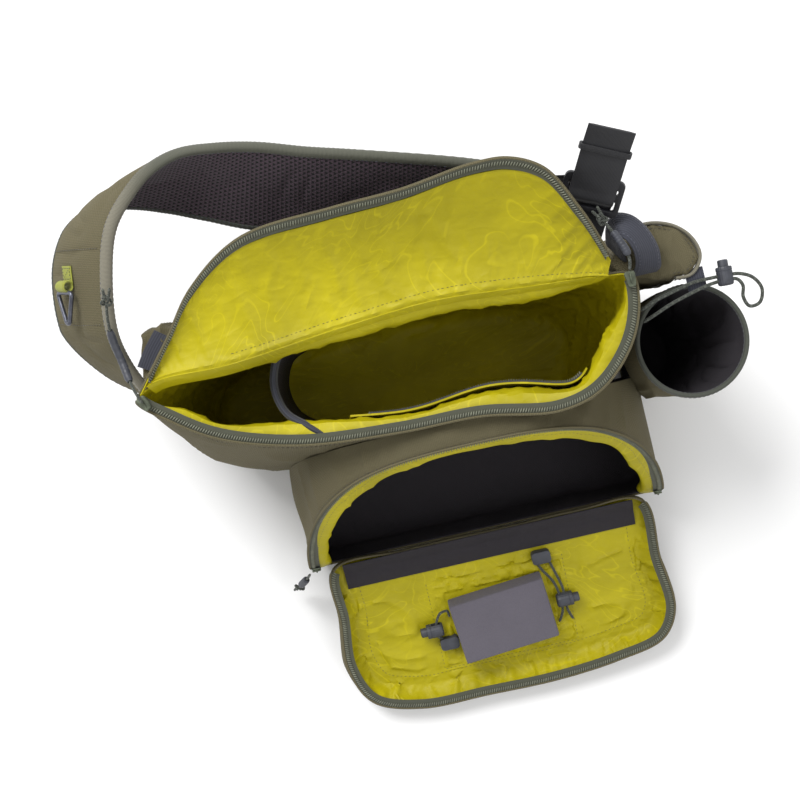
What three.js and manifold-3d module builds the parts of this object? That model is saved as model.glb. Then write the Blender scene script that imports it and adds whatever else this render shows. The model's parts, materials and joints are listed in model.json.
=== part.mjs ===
// Fishing tackle sling bag, standing upright with its lid and its front pocket open.
// Millimetres, +Z up. X runs along the bag, the wearer's side is towards +Y, and the
// origin is the middle of the flat base.
import * as THREE from "three";
import { mergeVertices } from "three/addons/utils/BufferGeometryUtils.js";
import Module from "manifold-3d";

// Cloth and clearance
const gap = 0.3; // between pieces that touch
const shellCloth = 1.6;
const liningCloth = 1.0;
const webbingThickness = 1.8;

// Main compartment
const baseLength = 352;
const baseDepth = 118;
const baseCorner = 20;
const mouthLength = 422;
const mouthShift = -2; // middle of the mouth, along the bag
const rimHeight = 225;
const swell = 16; // how far the walls bulge halfway up
const lidRise = 300; // top of the folded-back lid
const lidReach = 150; // how far back its edge stands
const zipWidth = 9;
const zipThickness = 2;
const backPadThickness = 12;
const backPadHeight = 165;
const sleeveThickness = 3;
const sleeveDip = 12; // its top sags this much in the middle
const bindingThickness = 5;
const innerPocketLength = 236;
const innerPocketDepth = 130;

// Front pocket and its fold-down panel
const pocketWidth = 334;
const pocketMiddle = 52; // along the bag
const pocketHeight = 200;
const pocketReach = 154; // front wall, forward of the origin
const hingeHeight = 50;
const pocketCorner = 18;
const archPower = 2.6; // how square the arch is
const facingWidth = 16;
const panelWidth = 320;
const panelLength = 165;
const panelDepth = 20;
const panelCorner = 7;
const hingeSeat = 1.5; // the panel's hinged edge, back from the pocket's front
const floorClearance = 1;
const flapReach = 16; // sleeve cloth that lies over the hinge
const foamLength = 92;
const foamWidth = 62;
const foamThickness = 20;

// Bottle pocket and wings
const bottleRadius = 46;
const bottleHeight = 192;
const bottleX = 254;
const bottleY = -23;
const bottleFootShift = 30; // the foot stands this much nearer to the bag
const wingHeight = 205;

// Shoulder strap and its hardware
const strapWidth = 95;
const strapBehind = 218; // farthest point behind the origin
const strapTop = 266;
const strapCloth = 4;
const strapMesh = 4;
const strapBinding = 3.6; // radius of the edge bindings
const webbingWidth = 38;
const lockPlateLength = 34;
const lockPlateThickness = 4;
const ringWire = 4;
const handleWidth = 24;
const handleThickness = 4;

// Cords and cord locks
const bottleCordDiameter = 3;
const tippetCordDiameter = 2.5;
const pullCordDiameter = 2.5;
const gripWall = 1.2; // of the sleeve on each pull
const lockDiameter = 14;
const lockLength = 16;
const buttonDiameter = 9;
const buttonStandsOut = 6;
const buttonTravel = 3;
const lockBoreClearance = 0.4;

const V = (x, y, z = 0) => new THREE.Vector3(x, y, z);
const mix = (a, b, t) => a + (b - a) * t;
const clamp = (t) => Math.min(Math.max(t, 0), 1);
const wasm = await Module();
wasm.setup();

// Equal steps from one value to another, both ends included.
const steps = (from, to, count) => Array.from({ length: count + 1 }, (_, i) => mix(from, to, i / count));

// A closed surface from points and triangles: doubles merged, collapsed faces dropped, faces outward.
function closedSurface(points, faces) {
  const loose = new THREE.BufferGeometry();
  loose.setAttribute("position", new THREE.Float32BufferAttribute(points.flatMap((p) => [p.x, p.y, p.z]), 3));
  loose.setIndex(faces);
  const merged = mergeVertices(loose, 1e-3);
  const at = merged.getAttribute("position");
  const corner = (i) => new THREE.Vector3().fromBufferAttribute(at, i);
  const kept = [];
  let volume = 0;
  for (let k = 0; k < merged.index.count; k += 3) {
    const [a, b, c] = [0, 1, 2].map((n) => merged.index.getX(k + n));
    if (a === b || b === c || a === c) continue;
    kept.push([a, b, c]);
    volume += corner(a).dot(corner(b).cross(corner(c)));
  }
  merged.setIndex(kept.flatMap((f) => (volume < 0 ? [f[0], f[2], f[1]] : f)));
  return merged;
}

// A wall between two surfaces, each a function of (u, v). A ring closes on itself along u.
function wall(face, back, us, vs, ring = false) {
  const columns = ring ? us.slice(0, -1) : us;
  const points = [face, back].flatMap((side) => columns.flatMap((u) => vs.map((v) => side(u, v))));
  const rows = vs.length;
  const at = (side, i, j) => (side * columns.length + (i % columns.length)) * rows + j;
  const faces = [];
  const quad = (a, b, c, d) => faces.push(a, b, c, a, c, d);
  for (let i = 0; i < us.length - 1; i++) {
    for (let j = 0; j < rows - 1; j++) {
      quad(at(0, i, j), at(0, i + 1, j), at(0, i + 1, j + 1), at(0, i, j + 1));
      quad(at(1, i, j), at(1, i, j + 1), at(1, i + 1, j + 1), at(1, i + 1, j));
    }
    quad(at(0, i, 0), at(1, i, 0), at(1, i + 1, 0), at(0, i + 1, 0));
    quad(at(0, i, rows - 1), at(0, i + 1, rows - 1), at(1, i + 1, rows - 1), at(1, i, rows - 1));
  }
  if (!ring) {
    for (let j = 0; j < rows - 1; j++) {
      quad(at(0, 0, j), at(0, 0, j + 1), at(1, 0, j + 1), at(1, 0, j));
      const end = us.length - 1;
      quad(at(0, end, j), at(1, end, j), at(1, end, j + 1), at(0, end, j + 1));
    }
  }
  return closedSurface(points, faces);
}

// A closed lump from one ring surface whose first and last rows shrink to a point.
function lump(surface, us, vs) {
  const columns = us.slice(0, -1);
  const points = columns.flatMap((u) => vs.map((v) => surface(u, v)));
  const at = (i, j) => (i % columns.length) * vs.length + j;
  const faces = [];
  for (let i = 0; i < columns.length; i++)
    for (let j = 0; j < vs.length - 1; j++)
      faces.push(at(i, j), at(i + 1, j), at(i + 1, j + 1), at(i, j), at(i + 1, j + 1), at(i, j + 1));
  return closedSurface(points, faces);
}

// Joining and cutting of closed geometries.
function solidOf(geometry) {
  const bare = new THREE.BufferGeometry().setAttribute("position", geometry.getAttribute("position"));
  if (geometry.index) bare.setIndex(geometry.index);
  const merged = mergeVertices(bare, 1e-3);
  return new wasm.Manifold(
    new wasm.Mesh({
      numProp: 3,
      vertProperties: merged.getAttribute("position").array,
      triVerts: new Uint32Array(merged.index.array),
    }),
  );
}
// The largest body of a solid: a cut leaves thin slivers beside it.
function geometryOf(solid) {
  const bodies = solid.decompose();
  const mesh = bodies.reduce((a, b) => (b.volume() > a.volume() ? b : a)).getMesh();
  const geometry = new THREE.BufferGeometry();
  geometry.setAttribute("position", new THREE.BufferAttribute(mesh.vertProperties, 3));
  geometry.setIndex(new THREE.BufferAttribute(mesh.triVerts, 1));
  return geometry;
}
const cut = (body, ...tools) => geometryOf(tools.reduce((s, t) => s.subtract(solidOf(t)), solidOf(body)));
const join = (...bodies) => geometryOf(bodies.map(solidOf).reduce((s, t) => s.add(t)));
const common = (a, b) => geometryOf(solidOf(a).intersect(solidOf(b)));

// A round bar along points, and a flat shape with thickness.
function bar(points, radius, sides, count) {
  const path = new THREE.CatmullRomCurve3(points, false, "centripetal");
  const turns = steps(0, 2 * Math.PI, sides).slice(0, -1);
  const ring = new THREE.Shape(turns.map((a) => new THREE.Vector2(radius * Math.cos(a), radius * Math.sin(a))));
  return new THREE.ExtrudeGeometry(ring, { steps: count, extrudePath: path, bevelEnabled: false });
}
function plate(outline, thickness) {
  const shape = new THREE.Shape(outline.map(([x, y]) => new THREE.Vector2(x, y)));
  const slab = new THREE.ExtrudeGeometry(shape, { depth: thickness, bevelEnabled: false });
  return slab.translate(0, 0, -thickness / 2);
}
const block = (x, y, z) => new THREE.BoxGeometry(x, y, z);

// Corner points of a rounded rectangle, counter-clockwise.
function roundedRectangle(x0, y0, x1, y1, radius, perCorner = 4) {
  const centres = [
    [x1 - radius, y1 - radius, 0],
    [x0 + radius, y1 - radius, 1],
    [x0 + radius, y0 + radius, 2],
    [x1 - radius, y0 + radius, 3],
  ];
  return centres.flatMap(([cx, cy, turn]) =>
    steps(0, Math.PI / 2, perCorner).map((a) => {
      const angle = a + (turn * Math.PI) / 2;
      return [cx + radius * Math.cos(angle), cy + radius * Math.sin(angle)];
    }),
  );
}

// A flat band along stops, each a place and the direction of its width.
function band(stops, width, thickness, count, across = 1) {
  const line = new THREE.CatmullRomCurve3(stops.map((s) => s.at), false, "centripetal");
  const turn = new THREE.CatmullRomCurve3(stops.map((s) => s.side.clone().normalize()));
  const surface = (lift) => (u, v) => {
    const side = turn.getPoint(u).normalize();
    const normal = line.getTangent(u).cross(side).normalize();
    return line.getPoint(u).addScaledVector(side, (v - 0.5) * width).addScaledVector(normal, lift);
  };
  return wall(surface(thickness / 2), surface(-thickness / 2), steps(0, 1, count), steps(0, 1, across));
}

// A closed curve through the rows of a table.
const loopThrough = (points) => new THREE.CatmullRomCurve3(points, true, "centripetal");
const wrap = (u) => ((u % 1) + 1) % 1;

// A vessel of cloth. v from 0 to 1 is the floor, the rounded corner and the wall up to the rim,
// and v from 1 to 2 is a crowned top for pieces that are filled.
const floorEnd = 0.2;
const cornerEnd = 0.4;
function vessel({ base, rim, corner, bulge = () => 0, foot = 0, crown = 0 }) {
  const centreOf = (ring) => {
    const around = steps(0, 1, 16).slice(1);
    return around.reduce((sum, u) => sum.add(ring(u)), V(0, 0, 0)).divideScalar(around.length);
  };
  const baseCentre = centreOf(base);
  const rimCentre = centreOf(rim);
  const ringAt = (u, h) => {
    const low = base(wrap(u));
    const high = rim(wrap(u));
    return V(mix(low.x, high.x, h), mix(low.y, high.y, h), mix(foot + corner, high.z, h));
  };
  const outward = (u, h) => {
    const along = ringAt(u + 0.004, h).sub(ringAt(u - 0.004, h));
    return V(along.y, -along.x, 0).normalize();
  };
  const onWall = (u, h, inset) =>
    ringAt(u, h).addScaledVector(outward(u, h), bulge(wrap(u)) * Math.sin(Math.PI * h ** 0.8) - inset);
  return (u, v, inset = 0) => {
    if (v > 1) {
      const share = 2 - v;
      const edge = onWall(u, 1, inset);
      return V(
        mix(rimCentre.x, edge.x, share),
        mix(rimCentre.y, edge.y, share),
        mix(rimCentre.z, edge.z, share) + crown * (1 - share * share),
      );
    }
    if (v >= cornerEnd) return onWall(u, (v - cornerEnd) / (1 - cornerEnd), inset);
    const angle = (clamp((v - floorEnd) / (cornerEnd - floorEnd)) * Math.PI) / 2;
    const place = ringAt(u, 0).addScaledVector(outward(u, 0), -(corner - (corner - inset) * Math.sin(angle)));
    place.z = foot + corner - (corner - inset) * Math.cos(angle);
    if (v >= floorEnd) return place;
    return V(mix(baseCentre.x, place.x, v / floorEnd), mix(baseCentre.y, place.y, v / floorEnd), place.z);
  };
}

// Main compartment. Each row is a station round the bag, from the left end by the front:
// its direction at the base, its place on the mouth as shares of half the mouth's length, of the
// base's depth and of the rim's height, and its share of the swell.
const bodyTable = [
  { turn: 180, along: -1.0, across: 0.27, up: 1.0, full: 0.5 },
  { turn: 208, along: -0.89, across: 0.08, up: 0.98, full: 0.7 },
  { turn: 224, along: -0.72, across: -0.12, up: 0.95, full: 0.8 },
  { turn: 244, along: -0.42, across: -0.29, up: 0.925, full: 0.6 },
  { turn: 268, along: -0.02, across: -0.36, up: 0.925, full: 0.5 },
  { turn: 286, along: 0.31, across: -0.375, up: 0.93, full: 0.5 },
  { turn: 304, along: 0.62, across: -0.46, up: 0.945, full: 0.5 },
  { turn: 322, along: 0.79, across: -0.38, up: 0.98, full: 0.8 },
  { turn: 340, along: 0.935, across: -0.12, up: 1.03, full: 0.9 },
  { turn: 360, along: 0.995, across: 0.17, up: 1.07, full: 0.8 },
  { turn: 382, along: 0.985, across: 0.36, up: 1.085, full: 0.6 },
  { turn: 408, along: 0.89, across: 0.4, up: 1.085, full: 0.4 },
  { turn: 430, along: 0.6, across: 0.43, up: 1.08, full: 0.3 },
  { turn: 448, along: 0.21, across: 0.48, up: 1.07, full: 0.3 },
  { turn: 466, along: -0.16, across: 0.44, up: 1.06, full: 0.3 },
  { turn: 490, along: -0.61, across: 0.36, up: 1.045, full: 0.3 },
  { turn: 516, along: -0.92, across: 0.36, up: 1.015, full: 0.4 },
];
const basePower = 3.2;
function onBase(turn) {
  const angle = (turn * Math.PI) / 180;
  const share = (t) => Math.sign(t) * Math.pow(Math.abs(t), 2 / basePower);
  return V((share(Math.cos(angle)) * baseLength) / 2, (share(Math.sin(angle)) * baseDepth) / 2, 0);
}
const onMouth = ({ along, across, up }) =>
  V(mouthShift + (along * mouthLength) / 2, across * baseDepth, up * rimHeight);
const bodyBase = loopThrough(bodyTable.map((row) => onBase(row.turn)));
const bodyRim = loopThrough(bodyTable.map(onMouth));
const bodySwell = loopThrough(bodyTable.map((row) => V(row.full * swell, 0, 0)));
const bodyWall = vessel({
  base: (u) => bodyBase.getPoint(u),
  rim: (u) => bodyRim.getPoint(u),
  corner: baseCorner,
  bulge: (u) => bodySwell.getPoint(u).x,
});
const station = (index) => index / bodyTable.length;
const leftCorner = station(0);
const rightCorner = station(10);
const wallRows = steps(cornerEnd, 1, 4);
const cornerRows = steps(floorEnd, cornerEnd, 2).slice(0, -1);
const bodyColumns = 34;
const cup = (surface, outer, thickness, columns, rows) =>
  wall(
    (u, v) => surface(u, v, outer),
    (u, v) => surface(u, v, outer + thickness),
    steps(0, 1, columns),
    [0, ...cornerRows, ...rows],
    true,
  );
// The whole compartment as one filled solid, grown by a clearance, to cut its neighbours with.
const bodyFilled = (grow) =>
  lump((u, v) => bodyWall(u, v, -grow), steps(0, 1, bodyColumns), [0, ...cornerRows, ...wallRows, 2]);

const group = new THREE.Group();
const finish = {
  olive: { color: 0x6e6754, roughness: 0.85 },
  paleBinding: { color: 0x8f8a7c, roughness: 0.85 },
  darkBinding: { color: 0x565b50, roughness: 0.8 },
  lime: { color: 0xb4ae28, roughness: 0.6 },
  mesh: { color: 0x3e343a, roughness: 0.95 },
  darkCloth: { color: 0x4b464b, roughness: 0.85 },
  blackWebbing: { color: 0x24242a, roughness: 0.7 },
  slateWebbing: { color: 0x4b4c5c, roughness: 0.75 },
  foam: { color: 0x6c6670, roughness: 0.9 },
  plastic: { color: 0x4a4c54, roughness: 0.5 },
  metal: { color: 0x5a5c64, roughness: 0.35, metalness: 0.8 },
  cord: { color: 0x4a4e48, roughness: 0.85 },
};
function add(name, geometry, look, parent = group) {
  const mesh = new THREE.Mesh(geometry, new THREE.MeshStandardMaterial({ metalness: 0, ...finish[look] }));
  mesh.name = name;
  parent.add(mesh);
  return mesh;
}

// Main compartment: shell, lining and the half of the zipper on its front rim
function addMainCompartment() {
  add("main_shell", cup(bodyWall, 0, shellCloth, bodyColumns, wallRows), "olive");
  add("main_lining", cup(bodyWall, shellCloth + gap, liningCloth, bodyColumns, wallRows), "lime");
  const tape = (lift) => (u, v) => {
    const share = mix(leftCorner, rightCorner, u);
    const place = bodyWall(share, 1, mix(-1, zipWidth - 1, v));
    place.z += lift + 1.2 * v;
    return place;
  };
  const stops = steps(0.005, 0.985, 26);
  add("mouth_zipper", wall(tape(gap), tape(gap + zipThickness), stops, [0, 1]), "darkBinding");
}

// Lid, folded back. Each row is a place on its free edge, from left to right, as shares of half the
// mouth's length, of the lid's reach and of its rise, with the station of the hinge that it rises from.
const lidTable = [
  { along: -0.985, behind: 0.24, up: 0.77, hinge: 16.45 },
  { along: -0.83, behind: 0.49, up: 0.8, hinge: 16.0 },
  { along: -0.68, behind: 0.72, up: 0.85, hinge: 15.6 },
  { along: -0.445, behind: 0.91, up: 0.917, hinge: 15.1 },
  { along: -0.085, behind: 0.945, up: 0.967, hinge: 14.4 },
  { along: 0.18, behind: 0.955, up: 0.99, hinge: 13.8 },
  { along: 0.455, behind: 1.0, up: 1.0, hinge: 13.0 },
  { along: 0.6, behind: 0.985, up: 1.0, hinge: 12.4 },
  { along: 0.725, behind: 0.89, up: 0.99, hinge: 11.9 },
  { along: 0.83, behind: 0.65, up: 0.95, hinge: 11.4 },
  { along: 0.92, behind: 0.38, up: 0.86, hinge: 10.9 },
];
const lidEdge = new THREE.CatmullRomCurve3(
  lidTable.map(({ along, behind, up }) =>
    V(mouthShift + (along * mouthLength) / 2, behind * lidReach, up * lidRise),
  ),
  false,
  "centripetal",
);
const lidStations = new THREE.CatmullRomCurve3(lidTable.map((row) => V(station(row.hinge), 0, 0)));
const lidSag = 9; // the open lid hangs a little between its hinge and its edge
function onLid(u, v) {
  const low = bodyWall(lidStations.getPoint(u).x, 1, shellCloth / 2);
  low.z += shellCloth + gap;
  const place = low.lerp(lidEdge.getPoint(u), v);
  place.z -= lidSag * Math.sin(Math.PI * v) * Math.sin(Math.PI * u);
  return place;
}
function lidSurface(lift) {
  return (u, v) => {
    const e = 0.01;
    const along = onLid(clamp(u + e), v).sub(onLid(clamp(u - e), v));
    const back = onLid(u, clamp(v + e)).sub(onLid(u, clamp(v - e)));
    return onLid(u, v).addScaledVector(along.cross(back).normalize(), lift);
  };
}
function addLid() {
  const us = steps(0, 1, 20);
  const vs = steps(0, 0.9, 3);
  add("lid_shell", wall(lidSurface(0), lidSurface(shellCloth), us, [...vs, 1]), "olive");
  const top = shellCloth + gap;
  add("lid_lining", wall(lidSurface(top), lidSurface(top + liningCloth), us, vs), "lime");
  const edge = (lift) => (u, v) => {
    const place = lidSurface(lift)(u, 1);
    const outward = place.clone().sub(lidSurface(lift)(u, 0.9)).normalize();
    return place.addScaledVector(outward, mix(1.5 - zipWidth, 1.5, v));
  };
  const tapeLift = top + liningCloth + 2 * gap;
  const stops = steps(0.06, 0.97, 24);
  add("lid_zipper", wall(edge(tapeLift), edge(tapeLift + zipThickness), stops, [0, 1]), "darkBinding");
}

// Padded back, on the wearer's side
function backPad(grow) {
  const low = cornerEnd + 0.1;
  const topRow = cornerEnd + (1 - cornerEnd) * (backPadHeight / rimHeight) + 0.1;
  const pad = (lift, more) => (u, v) => {
    const edge = Math.min(1, 6 * Math.min(u, 1 - u, v, 1 - v) + 0.35);
    const share = mix(station(10.9), station(16.2), u) + 0.002 * grow * Math.sign(u - 0.5);
    return bodyWall(share, mix(low, topRow, v) + 0.003 * grow * Math.sign(v - 0.5), -lift * edge - more);
  };
  return wall(pad(-8, 0), pad(backPadThickness, grow), steps(0, 1, 10), steps(0, 1, 4));
}
const addBackPad = () => add("back_pad", cut(backPad(0), bodyFilled(gap)), "mesh");

// Inside: a padded sleeve that stands across the compartment, with its binding, and a flat
// zipped pocket on the front wall.
const sleeveTable = [
  { along: -0.365, across: 0.43 },
  { along: -0.44, across: 0.36 },
  { along: -0.485, across: 0.16 },
  { along: -0.46, across: -0.05 },
  { along: -0.37, across: -0.2 },
];
function addInside() {
  const clear = shellCloth + liningCloth + 2 * gap;
  const within = bodyFilled(-clear);
  const line = new THREE.CatmullRomCurve3(
    sleeveTable.map((row) => V((row.along * mouthLength) / 2, row.across * baseDepth, 0)),
    false,
    "centripetal",
  );
  const sleeve = (lift, low, high) => (u, v) => {
    const place = line.getPoint(u);
    const along = line.getTangent(u);
    place.addScaledVector(V(along.y, -along.x, 0).normalize(), lift);
    place.z = mix(low(u), high(u), v);
    return place;
  };
  const top = (above) => (u) => rimHeight * 0.9 + above - sleeveDip * Math.sin(Math.PI * u);
  const us = steps(-0.06, 1.06, 12);
  const vs = steps(0, 1, 2);
  const beyond = (surface) => (u, v) => {
    const end = clamp(u);
    return surface(end, v).addScaledVector(line.getTangent(end), (u - end) * 300);
  };
  const standing = (lift, low, high) => beyond(sleeve(lift, low, high));
  const half = sleeveThickness / 2;
  const foot = () => baseCorner;
  add(
    "inner_sleeve",
    common(wall(standing(-half, foot, top(0)), standing(half, foot, top(0)), us, vs), within),
    "darkCloth",
  );
  const wide = half + 2;
  const trim = wall(
    standing(-wide, top(gap), top(bindingThickness)),
    standing(wide, top(gap), top(bindingThickness)),
    us,
    [0, 1],
  );
  add("sleeve_binding", common(trim, within), "slateWebbing");
  const flat = (inset) => (u, v) =>
    bodyWall(
      mix(station(3.55), station(3.55) + innerPocketLength / 1100, u),
      mix(0.96 - (0.6 * innerPocketDepth) / rimHeight, 0.96, v),
      inset + 3 * Math.sin(Math.PI * u) * v,
    );
  const pouch = wall(flat(clear + 1.5), flat(clear + 4.5), steps(0, 1, 12), steps(0, 1, 3));
  add("inner_zip_pocket", pouch, "slateWebbing");
}

// Front pocket. Its edge in the side view, from the hinge up: how far forward, as a share of the
// pocket's reach, and how far up from the hinge to the top.
const edgeTable = [
  { forward: 1.0, up: 0 },
  { forward: 0.955, up: 0.173 },
  { forward: 0.8, up: 0.427 },
  { forward: 0.6, up: 0.72 },
  { forward: 0.48, up: 0.893 },
  { forward: 0.405, up: 1.027 },
];
const edgeLine = new THREE.SplineCurve(
  edgeTable.map((row) => new THREE.Vector2(-row.forward * pocketReach, mix(hingeHeight, pocketHeight, row.up))),
);
const edgePoints = edgeLine.getPoints(6).map((p) => [p.x, p.y]);
function edgeForward(z) {
  const next = edgePoints.findIndex((p) => p[1] >= z);
  if (next < 1) return edgePoints[0][0];
  const [a, b] = [edgePoints[next - 1], edgePoints[next]];
  return mix(a[0], b[0], (z - a[1]) / (b[1] - a[1]));
}
// The front view of the pocket: a square arch over a box with rounded lower corners.
function onArch(turn, inset) {
  const power = (t) => Math.sign(t) * Math.pow(Math.abs(t), 2 / archPower);
  return [
    pocketMiddle + power(Math.cos(turn)) * (pocketWidth / 2 - inset),
    hingeHeight + power(Math.sin(turn)) * (pocketHeight - hingeHeight - inset),
  ];
}
function frontView(inset) {
  const arch = steps(0, Math.PI, 14).map((turn) => onArch(turn, inset));
  const radius = pocketCorner - inset;
  const left = pocketMiddle - pocketWidth / 2 + inset;
  const right = pocketMiddle + pocketWidth / 2 - inset;
  const low = steps(0, Math.PI / 2, 2);
  const lowerLeft = low.map((a) => [left + radius * (1 - Math.cos(a)), inset + radius * (1 - Math.sin(a))]);
  const lowerRight = low.map((a) => [right - radius * (1 - Math.sin(a)), inset + radius * (1 - Math.cos(a))]);
  return new THREE.Shape([...arch, ...lowerLeft, ...lowerRight].map(([x, z]) => new THREE.Vector2(x, z)));
}
const through = 700; // longer than the bag, for shapes that are only cut with
function alongY(shape) {
  return new THREE.ExtrudeGeometry(shape, { depth: through, bevelEnabled: false })
    .rotateX(Math.PI / 2)
    .translate(0, through / 2, 0);
}
function alongX(points) {
  const shape = new THREE.Shape(points.map(([y, z]) => new THREE.Vector2(y, z)));
  return new THREE.ExtrudeGeometry(shape, { depth: through, bevelEnabled: false })
    .rotateX(Math.PI / 2)
    .rotateZ(Math.PI / 2)
    .translate(-through / 2 + pocketMiddle, 0, 0);
}
const wallFoot = 0.95; // the front wall leans in towards its foot
const pocketBack = -baseDepth / 2 + 0.8 * baseCorner; // it ends inside the compartment's front wall
const lowWall = (inset) => [
  [pocketBack, inset],
  [-wallFoot * pocketReach + pocketCorner, inset],
  [-wallFoot * pocketReach + inset, pocketCorner],
];
const filledPocket = (inset, back = 0) =>
  common(
    alongY(frontView(inset)),
    alongX([
      ...lowWall(inset),
      [-pocketReach + inset, hingeHeight],
      ...edgePoints.map(([y, z]) => [Math.min(y + Math.max(back, inset), pocketBack - 1), z]),
      [pocketBack, edgePoints.at(-1)[1]],
    ]),
  );
const openPocket = (inset) =>
  common(
    alongY(frontView(inset)),
    alongX([
      ...lowWall(inset),
      [-pocketReach + inset, hingeHeight],
      [-through / 2, hingeHeight],
      [-through / 2, through / 2],
      [pocketBack, through / 2],
    ]),
  );
const tapeClear = 2.2; // the tape stands this far in front of the gusset edge
const archPlace = (turn, inset) => {
  const [x, z] = onArch(turn, inset);
  return V(x, edgeForward(z), z);
};
function addFrontPocket() {
  const around = bodyFilled(gap);
  add("pocket_shell", cut(filledPocket(0), openPocket(shellCloth), around), "olive");
  const inner = shellCloth + gap;
  const within = openPocket(inner + liningCloth);
  const strip = cut(filledPocket(inner, inner), within, filledPocket(0, facingWidth));
  const middle = hingeHeight + pocketHeight / 2 + 2;
  const aboveHinge = block(through, through, pocketHeight).translate(0, 0, middle);
  add("pocket_facing", cut(common(strip, aboveHinge), around), "lime");
  const hollow = cut(openPocket(inner + liningCloth), bodyFilled(gap + liningCloth));
  add("pocket_lining", cut(filledPocket(inner, facingWidth + gap), hollow, around), "darkCloth");
  const tape = (lift) => (u, v) => {
    const turn = mix(Math.PI, 0, u);
    const place = archPlace(turn, mix(-1, zipWidth - 1, v));
    const slope = archPlace(turn, 0).y;
    place.y = slope - tapeClear - lift;
    return place;
  };
  add("pocket_zipper", wall(tape(0), tape(zipThickness), steps(0.03, 0.97, 20), [0, 1]), "darkBinding");
}

// Fold-down panel: a shallow tray that turns on the pocket's hinge and rests on the floor.
// Rows go round the tray from its left hinge corner, as shares of half its width and of its length.
const panelTable = [
  { along: -0.93, out: 0.02, high: 0.25 },
  { along: -0.97, out: 0.33, high: 0.75 },
  { along: -1.0, out: 0.64, high: 1 },
  { along: -0.9, out: 0.88, high: 1 },
  { along: -0.62, out: 0.985, high: 1 },
  { along: -0.2, out: 0.995, high: 1 },
  { along: 0.23, out: 1.0, high: 1 },
  { along: 0.62, out: 0.965, high: 1 },
  { along: 0.92, out: 0.89, high: 1 },
  { along: 1.02, out: 0.72, high: 1 },
  { along: 0.98, out: 0.38, high: 0.75 },
  { along: 0.93, out: 0.02, high: 0.25 },
  { along: 0.5, out: 0.0, high: 0.15 },
  { along: 0.0, out: 0.0, high: 0.15 },
  { along: -0.5, out: 0.0, high: 0.15 },
];
const rimTuck = 5; // the tray's rim leans in
const panelPlace = (row) => V((row.along * panelWidth) / 2, -row.out * panelLength, 0);
const panelRing = loopThrough(panelTable.map(panelPlace));
const panelRimRing = loopThrough(
  panelTable.map((row) => {
    const place = panelPlace(row).multiplyScalar(1 - (2 * rimTuck * row.high) / panelWidth);
    place.z = mix(panelCorner, panelDepth, row.high);
    return place;
  }),
);
const panelWall = vessel({
  base: (u) => panelRing.getPoint(u),
  rim: (u) => panelRimRing.getPoint(u),
  corner: panelCorner - 1,
});
const panel = new THREE.Group();
const panelDrop = Math.asin((hingeHeight - floorClearance) / panelLength);
panel.position.set(pocketMiddle, hingeSeat - pocketReach, hingeHeight);
panel.rotation.x = panelDrop;
group.add(panel);
function addPanel() {
  add("panel_shell", cup(panelWall, 0, shellCloth, 34, [cornerEnd, 1]), "olive", panel);
  add("panel_lining", cup(panelWall, shellCloth + gap, liningCloth, 34, [cornerEnd, 1]), "lime", panel);
  const last = 11 / panelTable.length;
  const tape = (lift) => (u, v) => {
    const place = panelWall(mix(0.004, last - 0.004, u), 1, mix(-1, zipWidth - 2, v));
    place.z += gap + lift;
    return place;
  };
  add("panel_zipper", wall(tape(0), tape(zipThickness), steps(0, 1, 26), [0, 1]), "darkBinding", panel);
  const flap = (lift) => (u, v) => {
    const out = 12 + flapReach * v;
    const height = shellCloth + liningCloth + 2 * gap + lift + 3 * Math.sin(Math.PI * v);
    return V(mix(-0.86, 0.86, u) * (panelWidth / 2), -out, height);
  };
  add("pocket_sleeve", wall(flap(0), flap(1.2), steps(0, 1, 12), steps(0, 1, 3)), "darkCloth", panel);
}

// Foam fly block on the panel
const panelTop = shellCloth + liningCloth + 3 * gap; // where pieces rest on the panel's lining
function addFoam() {
  const half = [foamLength / 2, foamWidth / 2];
  const foam = plate(roundedRectangle(-half[0], -half[1], half[0], half[1], 4, 2), foamThickness);
  const mesh = add("foam_block", foam, "foam", panel);
  mesh.position.set(-2, -0.535 * panelLength, panelTop + foamThickness / 2);
  mesh.rotation.z = 0.09;
}

// A cord lock: a barrel with a window for the cord along its own X, and a button that slides
// along its own Z against a spring.
const windowHeight = 4.8;
const windowWidth = 8.4;
const windowDrop = 1.6; // the window sits this much nearer to the closed end
const boreFloor = windowWidth / 2 - windowDrop + 0.8;
function addCordLock(name, parent, place, forward, upward) {
  const lock = new THREE.Group();
  const z = upward.clone().normalize();
  const y = z.clone().cross(forward).normalize();
  lock.matrixAutoUpdate = false;
  lock.matrix.makeBasis(y.clone().cross(z), y, z).setPosition(place);
  lock.matrixWorldNeedsUpdate = true;
  parent.add(lock);
  const upright = (radius, length, sides) =>
    new THREE.CylinderGeometry(radius, radius, length, sides).rotateX(Math.PI / 2);
  const barrel = upright(lockDiameter / 2, lockLength, 14);
  const cordWindow = block(2 * lockDiameter, windowHeight, windowWidth).translate(0, 0, -windowDrop);
  const boreRadius = buttonDiameter / 2 + lockBoreClearance;
  const bore = upright(boreRadius, lockLength, 14).translate(0, 0, boreFloor + lockLength / 2);
  add(name, cut(barrel, cordWindow, bore), "plastic", lock);
  const buttonLength = lockLength / 2 + buttonStandsOut - boreFloor - buttonTravel - gap;
  const button = upright(buttonDiameter / 2, buttonLength, 12);
  const middle = lockLength / 2 + buttonStandsOut - buttonLength / 2;
  add(name + "_button", button.translate(0, 0, middle), "plastic", lock);
}

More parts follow.
